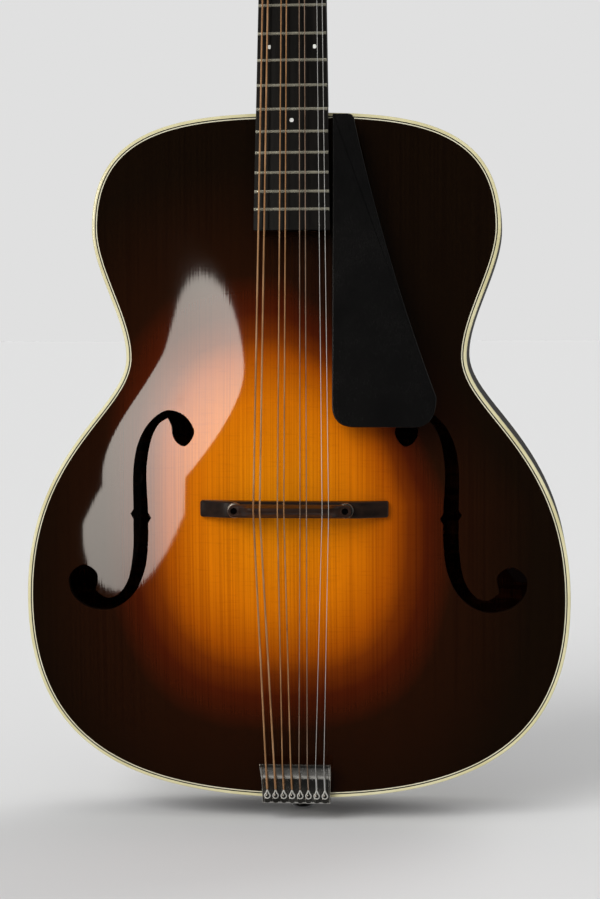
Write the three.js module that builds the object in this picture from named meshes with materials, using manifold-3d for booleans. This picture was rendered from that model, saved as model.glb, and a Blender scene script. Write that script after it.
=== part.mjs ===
// Octave mandolin: carved top with two f-holes, carved back, bent sides, set neck, floating bridge,
// metal tailpiece, raised pickguard and open worm-gear tuning machines.
//
// Bench frame, in millimetres: the instrument lies on its back. X runs to the treble side, Y runs up
// the neck from the bridge line, and Z rises out of the top from the rim, where top and sides meet.
// The last lines stand it upright, neck up, with its origin where a wall hanger holds the headstock.
import * as THREE from "three";
import { mergeVertices } from "three/addons/utils/BufferGeometryUtils.js";
import Module from "manifold-3d";

const wasm = await Module();
wasm.setup();

const TURN = 2 * Math.PI;
const HALF_TURN = Math.PI;
const QUARTER_TURN = Math.PI / 2;
const HALF_SHARE = 0.5;
const STEEP_SHARE = 0.7;
const SIDES = [
  { name: "bass", sign: -1 },
  { name: "treble", sign: 1 },
];

// Fits: the clearance of pieces that seat on each other, of shafts that turn, and the overrun of cuts.
const FIT = 0.3;
const RUNNING = 0.12;
const OVERRUN = 2;
const JOIN = 0.5;
const FITTING_ALLOWANCE = 2.2;

// Scale, from the bridge line to the nut.
const SCALE_LENGTH = 571.5;
const FRET_COUNT = 19;
const SEMITONES = 12;

// Body outline, measured from the bridge line and the centre line.
const TAIL_REACH = 191.7;
const SHOULDER_REACH = 254.7;
const LOWER_HALF_WIDTH = 178;
const LOWER_DROP = 60.4;
const WAIST_HALF_WIDTH = 110.8;
const WAIST_RISE = 97.6;
const UPPER_HALF_WIDTH = 132.9;
const UPPER_RISE = 180.9;
const TAIL_BEND_SHARES = [0.629, 0.75];
const HIP_BEND_SHARES = [0.617, 0.218];
const CHEST_BEND_SHARES = [0.303, 0.319];
const SHOULDER_BEND_SHARES = [0.95, 0.513];
const OUTLINE_STEPS = [8, 6, 5, 7];

// Body depth and the carved plates.
const RIM_DEPTH = 86;
const TOP_ARCH = 16;
const BACK_ARCH = 18;
const CROWN_THICKNESS = 6;
const EDGE_THICKNESS = 5;
const CARVE_POWER_SHARE = 1.2;
const INNER_CARVE_POWER_SHARE = 1.5;
const PLATE_CENTRE_SHARE = 0.09;
const OUTER_RING_SHARES = [0, 0.1, 0.25, 0.45, 0.7];
const INNER_RING_SHARES = [0, 0.13, 0.32, 0.58];

// Sides, linings, binding and blocks.
const RIB_THICKNESS = 2.2;
const BINDING_WIDTH = 3.4;
const BINDING_DEPTH = 6.5;
const LINING_WIDTH = 6;
const LINING_HEIGHT = 12;
const LINING_FOOT_SHARE = 0.3;
const NECK_BLOCK_HALF_WIDTH = 36;
const NECK_BLOCK_LENGTH = 45;
const TAIL_BLOCK_HALF_WIDTH = 42;
const TAIL_BLOCK_LENGTH = 20;

// F-hole, given on the treble side.
const F_NEAR_SHARE = 0.3669;
const F_WIDTH_SHARE = 0.4629;
const F_NEAR = LOWER_HALF_WIDTH * F_NEAR_SHARE;
const F_WIDTH = LOWER_HALF_WIDTH * F_WIDTH_SHARE;
const F_FOOT = 67.9;
const F_LENGTH = 130.2;
const F_STEM_WIDTH = 10.3;
const F_UPPER_EYE_RADIUS = 7.6;
const F_LOWER_EYE_RADIUS = 10;
const F_NICK = 1.4;
// Each row: share across, share up, share of the stem's width.
const F_STEM_SHARES = [
  [0.05, 0.925, 0.42],
  [0.13, 0.978, 0.46],
  [0.215, 0.979, 0.52],
  [0.307, 0.945, 0.66],
  [0.382, 0.859, 0.84],
  [0.433, 0.721, 0.97],
  [0.438, 0.568, 1],
  [0.426, 0.414, 0.95],
  [0.439, 0.276, 0.84],
  [0.487, 0.157, 0.68],
  [0.567, 0.068, 0.66],
  [0.688, 0.028, 0.7],
  [0.809, 0.05, 0.62],
  [0.9, 0.1, 0.5],
];
const F_NICK_SHARE = 0.5;
const F_STEPS = 14;
const EYE_SIDES = 10;

// Tone bars under the top.
const BAR_WIDTH = 7;
const BAR_HEIGHT = 14;
const BAR_LENGTH = 290;
const BAR_SPREAD = 33;
const BAR_SPLAY = 8;
const BAR_END_SHARE = 0.3;
const BAR_CREST_SHARE = 0.5;
const BAR_MIDDLE = 15.75;
const BAR_STEPS = 8;

// Neck, heel and fingerboard.
const NECK_ANGLE = THREE.MathUtils.degToRad(4);
const FRET_PLANE_AT_JOINT = 17.5;
const FRET_HEIGHT = 1;
const FRET_WIDTH = 2.4;
const BOARD_THICKNESS = 6.35;
const BOARD_LENGTH = 394;
const BOARD_NUT_WIDTH = 33.8;
const BOARD_END_WIDTH = 48.9;
const BOARD_RADIUS = 400;
const BOARD_ARC_STEPS = 4;
const NECK_DEPTH_AT_NUT = 14.5;
const NECK_DEPTH_AT_JOINT = 17;
const NECK_STEPS = 6;
const NECK_ARC_STEPS = 10;
const NECK_ROUND_SHARE = 0.75;
const TONGUE_THICKNESS = 6.6;
const TONGUE_INSET = 0.8;
const HEEL_LENGTH_TOP = 58;
const HEEL_LENGTH_END = 16;
const HEEL_HALF_WIDTH_END = 12.5;
const HEEL_CURVE_SHARE = 2.4;
const HEEL_TOP_SHARE = 0.93;
const HEEL_STEPS = 7;
const HEEL_ARC_STEPS = 10;
const HEEL_CAP_THICKNESS = 2.5;
const TENON_HALF_WIDTH = 10;
const TENON_LENGTH = 16;
const TENON_DEPTH = 60;

// Truss rod.
const ROD_RADIUS = 2.4;
const ROD_DROP = 7;
const ROD_NUT_RADIUS = 3.5;
const ROD_NUT_LENGTH = 9;
const ROD_NUT_STANDOFF = 9;
const ROD_ANCHOR = 24;
const ROD_POCKET_LENGTH = 14;
const ROD_POCKET_HALF_WIDTH = 4.4;

// Nut and headstock.
const NUT_THICKNESS = 5.5;
const NUT_ACTION = 0.5;
const NUT_CROWN = 0.7;
const HEAD_ANGLE = THREE.MathUtils.degToRad(14);
const HEAD_LENGTH = 142;
const HEAD_DEPTH = 15;
const HEAD_HALF_WIDTH = 33.5;
const HEAD_TIP_HALF_WIDTH = 30;
const HEAD_CROWN = 7;
const HEAD_SHOULDER = 24;
const SHAFT_INTO_HEAD = 8;
const HEADPLATE_THICKNESS = 1.8;
const HEAD_CURVE_STEPS = 6;
const COVER_LENGTH = 32;
const COVER_HALF_WIDTH = 9;
const COVER_TIP_HALF_WIDTH = 4;
const COVER_THICKNESS = 1.6;
const COVER_STANDOFF = 1.5;
const HANGER_REACH = 12;

// Tuning machines: four on a plate, worm over gear.
const MACHINES_PER_SIDE = 4;
const POST_FIRST = 38;
const POST_PITCH = 23;
const POST_SPREAD = 21.5;
const POST_RADIUS = 3;
const POST_HEIGHT = 12.5;
const POST_SIDES = 8;
const BORE_SIDES = 8;
const POST_BORE_RADIUS = 3.5;
const COLLAR_RADIUS = 4.4;
const COLLAR_HEIGHT = 1.2;
const TUNER_PLATE_THICKNESS = 1.5;
const TUNER_PLATE_HALF_WIDTH = 9.2;
const TUNER_PLATE_END = 11;
const GEAR_TEETH = 14;
const GEAR_MODULE = 0.7;
const GEAR_THICKNESS = 3;
const GEAR_SCREW_RADIUS = 2.4;
const GEAR_SCREW_HEIGHT = 1.2;
const GEAR_DEDENDUM_SHARE = 1.25;
const WORM_PITCH_RADIUS = 2.5;
const WORM_TURNS = 3;
const WORM_STEPS = 8;
const PRESSURE_ANGLE = THREE.MathUtils.degToRad(20);
const BACKLASH = 0.24;
const EAR_THICKNESS = 1.6;
const EAR_HALF_WIDTH = 3.1;
const EAR_CROWN = 2.6;
const EAR_STANDOFF = 0.65;
const BUTTON_CLEARANCE = 2.6;
const BUTTON_LENGTH = 15;
const BUTTON_RADIUS = 7;
const BUTTON_NECK_RADIUS = 2.7;
const BUTTON_FLAT_SHARE = 0.62;
// Each row: share along the button, share of its radius.
const BUTTON_PROFILE_SHARES = [
  [0.14, 0.38],
  [0.28, 0.72],
  [0.55, 1],
  [0.84, 0.84],
  [1, 0.45],
];

// String windings on the posts.
const WINDING_TURNS = 2;
const WINDING_STEPS = 8;
const WINDING_SIDES = 4;
const WINDING_GAP = 0.5;
const WINDING_TOP = 9.4;
const WINDING_CLEAR = 0.06;

// Strings: one radius and one place for each of the four courses, low to high.
const COURSE_NAMES = ["g", "d", "a", "e"];
const STRING_COUNT = 2 * COURSE_NAMES.length;
const G_RADIUS = 0.58;
const D_RADIUS = 0.43;
const A_RADIUS = 0.3;
const E_RADIUS = 0.18;
const COURSE_RADII = [G_RADIUS, D_RADIUS, A_RADIUS, E_RADIUS];
const SADDLE_SPREAD = 43.9;
const SADDLE_COURSE_SHARES = [-0.484, -0.133, 0.195, 0.515];
const SADDLE_PAIR_GAP = 4.1;
const NUT_SPREAD = 27.5;
const NUT_COURSE_SHARES = [-0.485, -0.15, 0.187, 0.515];
const NUT_PAIR_GAP = 2.8;
const TAIL_STRING_PITCH = 5.4;
const ACTION_AT_TWELFTH = 2.2;
const STRING_SIDES = 5;
const ROD_SIDES = 10;
const HEX_SIDES = 6;

// Bridge.
const BRIDGE_LENGTH = 120.5;
const BRIDGE_OFFSET = 1.75;
const BRIDGE_WIDTH = 10.6;
const BRIDGE_END_RISE = 4.3;
const BRIDGE_CHAMFER = 1.4;
const BRIDGE_STEPS = 12;
const BRIDGE_FLAT_SHARE = 0.66;
const BRIDGE_POST_SPACING = 71.2;
const BRIDGE_POST_OFFSET = -0.9;
const BRIDGE_POST_RADIUS = 1.9;
const BRIDGE_POST_SINK = 6;
const BRIDGE_POST_REACH = 4.4;
const WHEEL_RADIUS = 5;
const WHEEL_THICKNESS = 2.4;
const WHEEL_LIFT = 1.8;
const WHEEL_FLUTES = 12;
const WHEEL_FLUTE = 0.35;
const SADDLE_HEIGHT = 9.6;
const SADDLE_THICKNESS = 8.2;
const SADDLE_BLADE_THICKNESS = 4.6;
const SADDLE_CREST = 1.8;
const SADDLE_BEVEL = 1.2;
const SADDLE_EAR_HEIGHT = 5.4;
const SADDLE_EAR_REACH = 5;
const SADDLE_BLADE_INSET = 7;
const SADDLE_CROWN_STEPS = 6;

// Tailpiece and end pin.
const TAILPIECE_HALF_WIDTH = 23.3;
const TAILPIECE_WAIST_SHARE = 0.95;
const TAILPIECE_FRONT = 24.7;
const TAILPIECE_STEP = 15.7;
const TAILPIECE_LIP_TOP = 13.2;
const TAILPIECE_LIP = 1.6;
const TAILPIECE_STEP_TOP = 7;
const TAILPIECE_BED_TOP = 5.4;
const TAILPIECE_BED = 9.5;
const TAILPIECE_WALL = 2.4;
const TAILPIECE_CLEAR = 0.7;
const TAILPIECE_FLANGE = 56;
const TAILPIECE_FLANGE_END_HALF_WIDTH = 12;
const SCALLOP_RADIUS = 2.65;
const SCALLOP_SIDES = 10;
const PEG_RADIUS = 1.05;
const PEG_HEIGHT = 2.6;
const PEG_SIDES = 6;
const PEG_INSET = 3.2;
const LOOP_WIRE_RADIUS = 0.42;
const LOOP_CLEARANCE = 0.25;
const LOOP_LENGTH = 4.6;
const LOOP_STEPS = 6;
const LOOP_SIDES = 4;
const END_PIN_DROP_SHARE = 0.5;
const END_PIN_RADIUS = 4.4;
const END_PIN_TIP_RADIUS = 3.6;
const END_PIN_KNOB_RADIUS = 7.5;
const END_PIN_REACH = 12;
// Each row: share of the knob's radius, share of its reach.
const KNOB_SHARES = [
  [1, 0],
  [1, 0.17],
  [0.64, 0.33],
  [0.64, 0.5],
  [1, 0.7],
  [1, 0.88],
  [0.64, 1],
];
const END_PIN_FLANGE = 2;
const END_PIN_SIDES = 12;

// Pickguard, measured from the bridge line and the centre line.
const GUARD_THICKNESS = 2.6;
const GUARD_BELOW_BOARD = 1.6;
const GUARD_TOP = 252.4;
const GUARD_FOOT = 53;
const GUARD_NEAR = 26;
const GUARD_TOP_HALF_WIDTH = 37.5;
const GUARD_FOOT_REACH = 92.4;
const GUARD_HIP = 72;
const GUARD_CORNER = 11;
const GUARD_TOP_CORNER = 5;
const GUARD_BOW = 5;
const GUARD_POST_REACH = 66;
const GUARD_POST_RISE = 78;
const GUARD_POST_RADIUS = 3;
const GUARD_POST_FOOT_RADIUS = 6;
const GUARD_POST_FOOT = 2;
const GUARD_POST_SIDES = 10;

// Materials.
const finish = (color, roughness, metalness) =>
  new THREE.MeshStandardMaterial({ color, roughness, metalness });
const SPRUCE = finish(0xc8821e, 0.2, 0);
const MAPLE = finish(0x3a1a10, 0.22, 0);
const MAHOGANY = finish(0x6b3a22, 0.7, 0);
const PALE_SPRUCE = finish(0xd9bd8a, 0.75, 0);
const LACQUERED_NECK = finish(0x24120c, 0.25, 0);
const EBONY = finish(0x15120f, 0.45, 0);
const CREAM = finish(0xd8cfa8, 0.4, 0);
const BONE = finish(0xe9e2cd, 0.45, 0);
const STEEL = finish(0x9a9a9c, 0.35, 1);
const BRASS = finish(0xb8924a, 0.35, 1);
const NICKEL = finish(0xbdbab2, 0.25, 1);
const BLACK_PLASTIC = finish(0x0b0b0c, 0.2, 0);
const BRONZE_STRING = finish(0xb07a45, 0.35, 1);
const STEEL_STRING = finish(0xa8a8aa, 0.3, 1);

// Shape helpers.
const v3 = (x, y, z) => new THREE.Vector3(x, y, z);
const v2 = (x, y) => new THREE.Vector2(x, y);
const mix = (a, b, share) => a + (b - a) * share;
const clamp = THREE.MathUtils.clamp;
const shareList = (steps) => Array.from({ length: steps + 1 }, (_, i) => i / steps);

// A point list as triangles, turned to face out if its signed volume says that it faces in.
function closedBody(points, indices) {
  let volume = 0;
  for (let i = 0; i < indices.length; i += 3) {
    const [a, b, c] = [points[indices[i]], points[indices[i + 1]], points[indices[i + 2]]];
    volume += a.dot(b.clone().cross(c));
  }
  const faces = volume < 0 ? indices.slice().reverse() : indices;
  const geometry = new THREE.BufferGeometry();
  const coordinates = points.flatMap((p) => [p.x, p.y, p.z]);
  geometry.setAttribute("position", new THREE.Float32BufferAttribute(coordinates, 3));
  geometry.setIndex(faces);
  return geometry;
}

// Triangles over a flat ring of points that may be concave.
function capOf(ring, offset) {
  const normal = v3(0, 0, 0);
  ring.forEach((p, i) => normal.add(p.clone().cross(ring[(i + 1) % ring.length])));
  const size = normal.toArray().map(Math.abs);
  const drop = size.indexOf(Math.max(...size));
  const flat = ring.map((p) => v2(...p.toArray().filter((_, axis) => axis !== drop)));
  const turned = THREE.ShapeUtils.isClockWise(flat);
  const order = ring.map((_, i) => (turned ? ring.length - 1 - i : i));
  const triangles = THREE.ShapeUtils.triangulateShape(order.map((i) => flat[i]), []);
  const sign = normal.getComponent(drop) > 0;
  const flip = (drop === 1) === sign;
  return triangles.flatMap(([a, b, c]) => {
    const corners = [order[a] + offset, order[b] + offset, order[c] + offset];
    return flip ? corners.reverse() : corners;
  });
}

// A skin through rings with equal counts: capped at both ends, closed on itself, or closed to poles.
function loft(rings, { loop = false, poles = null } = {}) {
  const count = rings[0].length;
  const points = rings.flat();
  const indices = [];
  const spans = loop ? rings.length : rings.length - 1;
  for (let i = 0; i < spans; i++) {
    const a = i * count;
    const b = ((i + 1) % rings.length) * count;
    for (let j = 0; j < count; j++) {
      const k = (j + 1) % count;
      indices.push(a + j, a + k, b + k, a + j, b + k, b + j);
    }
  }
  const last = (rings.length - 1) * count;
  if (poles) {
    points.push(...poles);
    for (let j = 0; j < count; j++) {
      const k = (j + 1) % count;
      indices.push(points.length - 2, k, j);
      indices.push(points.length - 1, last + j, last + k);
    }
  } else if (!loop) {
    const first = capOf(rings[0], 0);
    const end = capOf(rings[rings.length - 1], last);
    indices.push(...first.reverse(), ...end);
  }
  return closedBody(points, indices);
}

// A round tube through points, its ring turned along the path with no twist.
function tube(points, radius, sides) {
  const radii = Array.isArray(radius) ? radius : points.map(() => radius);
  const tangents = points.map((p, i) => {
    const before = points[Math.max(i - 1, 0)];
    const after = points[Math.min(i + 1, points.length - 1)];
    return after.clone().sub(before).normalize();
  });
  let across = Math.abs(tangents[0].x) < STEEP_SHARE ? v3(1, 0, 0) : v3(0, 0, 1);
  const rings = points.map((p, i) => {
    across = across.clone().sub(tangents[i].clone().multiplyScalar(across.dot(tangents[i]))).normalize();
    const up = tangents[i].clone().cross(across);
    return Array.from({ length: sides }, (_, j) => {
      const angle = (TURN * j) / sides;
      return p
        .clone()
        .add(across.clone().multiplyScalar(radii[i] * Math.cos(angle)))
        .add(up.clone().multiplyScalar(radii[i] * Math.sin(angle)));
    });
  });
  return loft(rings);
}

// A flat outline in X and Y, raised from one height to another.
function slab(outline, low, high) {
  const rings = [low, high].map((z) => outline.map((p) => v3(p.x, p.y, z)));
  return loft(rings);
}

function block(low, high) {
  const outline = [v2(low.x, low.y), v2(high.x, low.y), v2(high.x, high.y), v2(low.x, high.y)];
  return slab(outline, low.z, high.z);
}

// A round bar along Z between two heights; its flats touch the radius when it is a cutter.
function bar(x, y, radius, low, high, sides, cutter = false) {
  const reach = cutter ? radius / Math.cos(HALF_TURN / sides) : radius;
  const outline = Array.from({ length: sides }, (_, i) => {
    const angle = (TURN * (i + HALF_SHARE)) / sides;
    return v2(x + reach * Math.cos(angle), y + reach * Math.sin(angle));
  });
  return slab(outline, low, high);
}

// A turned shape about Z from rows of radius and height, closed on its axis.
function turned(rows, sides, flutes = 0) {
  const rings = rows.map(([radius, z]) =>
    Array.from({ length: sides }, (_, i) => {
      const reach = i % 2 ? radius - flutes : radius;
      const angle = (TURN * i) / sides;
      return v3(reach * Math.cos(angle), reach * Math.sin(angle), z);
    }),
  );
  return loft(rings);
}

function solid(geometry) {
  const bare = new THREE.BufferGeometry();
  bare.setAttribute("position", geometry.getAttribute("position"));
  bare.setIndex(geometry.index);
  const merged = mergeVertices(bare);
  return new wasm.Manifold(
    new wasm.Mesh({
      numProp: 3,
      vertProperties: merged.attributes.position.array,
      triVerts: new Uint32Array(merged.index.array),
    }),
  );
}

function geometryOf(manifold) {
  const mesh = manifold.getMesh();
  const geometry = new THREE.BufferGeometry();
  geometry.setAttribute("position", new THREE.BufferAttribute(mesh.vertProperties, 3));
  geometry.setIndex(new THREE.BufferAttribute(mesh.triVerts, 1));
  return geometry;
}

const joined = (first, ...others) =>
  geometryOf(others.reduce((sum, next) => sum.add(solid(next)), solid(first)));
const cut = (first, ...cutters) =>
  geometryOf(cutters.reduce((rest, next) => rest.subtract(solid(next)), solid(first)));

const instrument = new THREE.Group();

function piece(name, geometry, material, parent = instrument) {
  const shaded = geometry.index ? geometry.toNonIndexed() : geometry;
  shaded.computeVertexNormals();
  const mesh = new THREE.Mesh(shaded, material);
  mesh.name = name;
  parent.add(mesh);
  return mesh;
}

// Body outline: four cubic bends from the tail to the shoulder, on the treble side.
const bends = [
  [
    v2(0, -TAIL_REACH),
    v2(LOWER_HALF_WIDTH * TAIL_BEND_SHARES[0], -TAIL_REACH),
    v2(LOWER_HALF_WIDTH, mix(-LOWER_DROP, -TAIL_REACH, TAIL_BEND_SHARES[1])),
    v2(LOWER_HALF_WIDTH, -LOWER_DROP),
  ],
  [
    v2(LOWER_HALF_WIDTH, -LOWER_DROP),
    v2(LOWER_HALF_WIDTH, mix(-LOWER_DROP, WAIST_RISE, HIP_BEND_SHARES[0])),
    v2(WAIST_HALF_WIDTH, mix(WAIST_RISE, -LOWER_DROP, HIP_BEND_SHARES[1])),
    v2(WAIST_HALF_WIDTH, WAIST_RISE),
  ],
  [
    v2(WAIST_HALF_WIDTH, WAIST_RISE),
    v2(WAIST_HALF_WIDTH, mix(WAIST_RISE, UPPER_RISE, CHEST_BEND_SHARES[0])),
    v2(UPPER_HALF_WIDTH, mix(UPPER_RISE, WAIST_RISE, CHEST_BEND_SHARES[1])),
    v2(UPPER_HALF_WIDTH, UPPER_RISE),
  ],
  [
    v2(UPPER_HALF_WIDTH, UPPER_RISE),
    v2(UPPER_HALF_WIDTH, mix(UPPER_RISE, SHOULDER_REACH, SHOULDER_BEND_SHARES[0])),
    v2(UPPER_HALF_WIDTH * SHOULDER_BEND_SHARES[1], SHOULDER_REACH),
    v2(0, SHOULDER_REACH),
  ],
];

// Stations of half the outline: each a point and its outward normal.
function halfOutline(steps = OUTLINE_STEPS) {
  const stations = [];
  bends.forEach((bend, index) => {
    const curve = new THREE.CubicBezierCurve(...bend);
    for (const share of shareList(steps[index])) {
      if (index > 0 && share === 0) continue;
      const point = curve.getPoint(share);
      const along = curve.getTangent(share);
      stations.push({ point, normal: v2(along.y, -along.x) });
    }
  });
  return stations;
}

const half = halfOutline();
const inset = (station, depth) => station.point.clone().addScaledVector(station.normal, -depth);
const mirrored = (station) => ({
  point: v2(-station.point.x, station.point.y),
  normal: v2(-station.normal.x, station.normal.y),
});
const whole = [...half, ...half.slice(1, -1).reverse().map(mirrored)];

// Half width of the outline at one height up the body.
const FINE_STEPS = OUTLINE_STEPS.map((count) => count * OUTLINE_STEPS.length);
const fineHalf = halfOutline(FINE_STEPS).map((station) => station.point);
function halfWidth(y) {
  const above = clamp(fineHalf.findIndex((p) => p.y >= y), 1, fineHalf.length - 1);
  const [a, b] = [fineHalf[above - 1], fineHalf[above]];
  return mix(a.x, b.x, clamp((y - a.y) / (b.y - a.y), 0, 1));
}

// The carve: full at the crown, flat at the edge, with a hollow before the edge.
const carve = (share, power) => (1 + Math.cos(HALF_TURN * Math.min(Math.abs(share), 1) ** power)) / 2;
function carved(x, y, margin, power) {
  const width = Math.max(halfWidth(y) - margin, FIT);
  const reach = (y > 0 ? SHOULDER_REACH : TAIL_REACH) - margin;
  return carve(x / width, power) * carve(y / reach, power);
}
const LINING_INSET = RIB_THICKNESS + FIT + LINING_WIDTH;
const topSurface = (x, y) => TOP_ARCH * carved(x, y, BINDING_WIDTH, CARVE_POWER_SHARE);
const innerSurface = (x, y, arch) =>
  (arch - CROWN_THICKNESS + EDGE_THICKNESS) * carved(x, y, LINING_INSET, INNER_CARVE_POWER_SHARE) -
  EDGE_THICKNESS;
const topUnderside = (x, y) => innerSurface(x, y, TOP_ARCH);
const backSurface = (x, y) => -RIM_DEPTH - BACK_ARCH * carved(x, y, BINDING_WIDTH, CARVE_POWER_SHARE);
const backUnderside = (x, y) => -RIM_DEPTH - innerSurface(x, y, BACK_ARCH);

// A carved plate: rings that shrink from the edge to the plate's centre, outside and inside.
function carvedPlate(outer, inner) {
  const centre = v2(0, SHOULDER_REACH * PLATE_CENTRE_SHARE);
  const edge = whole.map((station) => inset(station, BINDING_WIDTH + FIT));
  const ring = (share, surface) =>
    edge.map((p) => {
      const at = p.clone().lerp(centre, share);
      return v3(at.x, at.y, surface(at.x, at.y));
    });
  const rings = [
    ...OUTER_RING_SHARES.slice().reverse().map((share) => ring(share, outer)),
    ...INNER_RING_SHARES.map((share) => ring(share, inner)),
  ];
  const poles = [outer, inner].map((surface) => v3(centre.x, centre.y, surface(centre.x, centre.y)));
  return loft(rings, { poles });
}

// F-hole cutters: a stem that swells and narrows along its curve, an eye at each end, two nicks.
function fHole(sign) {
  const place = ([across, up]) => v3(sign * (F_NEAR + F_WIDTH * across), F_LENGTH * up - F_FOOT, 0);
  const curve = new THREE.CatmullRomCurve3(F_STEM_SHARES.map(place), false, "centripetal");
  const low = -EDGE_THICKNESS - OVERRUN;
  const high = TOP_ARCH + OVERRUN;
  const left = [];
  const right = [];
  for (const share of shareList(F_STEPS)) {
    const row = share * (F_STEM_SHARES.length - 1);
    const before = Math.floor(Math.min(row, F_STEM_SHARES.length - 2));
    const width = F_STEM_WIDTH * mix(F_STEM_SHARES[before][2], F_STEM_SHARES[before + 1][2], row - before);
    const at = curve.getPoint(share);
    const along = curve.getTangent(share);
    left.push(v2(at.x - (along.y * width) / 2, at.y + (along.x * width) / 2));
    right.push(v2(at.x + (along.y * width) / 2, at.y - (along.x * width) / 2));
  }
  const stem = slab([...left, ...right.reverse()], low, high);
  const upper = v2(sign * (F_NEAR + F_UPPER_EYE_RADIUS), F_LENGTH - F_FOOT - F_UPPER_EYE_RADIUS * 2);
  const lower = v2(sign * (F_NEAR + F_WIDTH - F_LOWER_EYE_RADIUS), F_LOWER_EYE_RADIUS * 2 - F_FOOT);
  const nick = curve.getPoint(F_NICK_SHARE);
  const nickReach = F_STEM_WIDTH / 2 + F_NICK;
  const diamond = [
    v2(nick.x - nickReach, nick.y),
    v2(nick.x, nick.y - F_NICK),
    v2(nick.x + nickReach, nick.y),
    v2(nick.x, nick.y + F_NICK),
  ];
  return [
    stem,
    bar(upper.x, upper.y, F_UPPER_EYE_RADIUS, low, high, EYE_SIDES),
    bar(lower.x, lower.y, F_LOWER_EYE_RADIUS, low, high, EYE_SIDES),
    slab(diamond, low, high),
  ];
}

// The station on half the outline at one distance from the centre line, near the tail or the neck.
function stationAt(x, stations) {
  const beyond = stations.findIndex(({ point }) => point.x > x);
  const [a, b] = [stations[beyond - 1], stations[beyond]];
  const share = (x - a.point.x) / (b.point.x - a.point.x);
  const normal = a.normal.clone().lerp(b.normal, share).normalize();
  return { point: a.point.clone().lerp(b.point, share), normal };
}

// A strip that follows half of the outline: its section is given as inset and height.
function sweptHalf(section, sign, tailX, neckX) {
  const inner = half.filter(({ point }) => point.x > (point.y < 0 ? tailX : neckX) + JOIN);
  const path = [stationAt(tailX, half), ...inner, stationAt(neckX, half.slice().reverse())];
  const rings = path.map((station) =>
    section.map(([depth, z]) => {
      const at = inset(station, depth);
      return v3(sign * Math.max(at.x, FIT / 2), at.y, z);
    }),
  );
  return loft(rings);
}

// Outline of an end block: its face follows the sides, its inner face is straight.
function blockOutline(wide, innerY, stations) {
  const face = stations.map((station) => inset(station, BINDING_WIDTH + FIT));
  const beyond = face.findIndex((p) => p.x > wide);
  const [a, b] = [face[beyond - 1], face[beyond]];
  const corner = v2(wide, mix(a.y, b.y, (wide - a.x) / (b.x - a.x)));
  const rightSide = [...face.slice(1, beyond), corner, v2(wide, innerY)];
  return [face[0], ...rightSide, ...rightSide.slice().reverse().map((p) => v2(-p.x, p.y))];
}

// A blank that runs into a plate is trimmed to the plate's own surface, moved off by the fit.
const fitted = (blank, plate, away) => cut(blank, plate.clone().translate(0, 0, away * FIT));
const topBlank = carvedPlate(topSurface, topUnderside);

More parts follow.
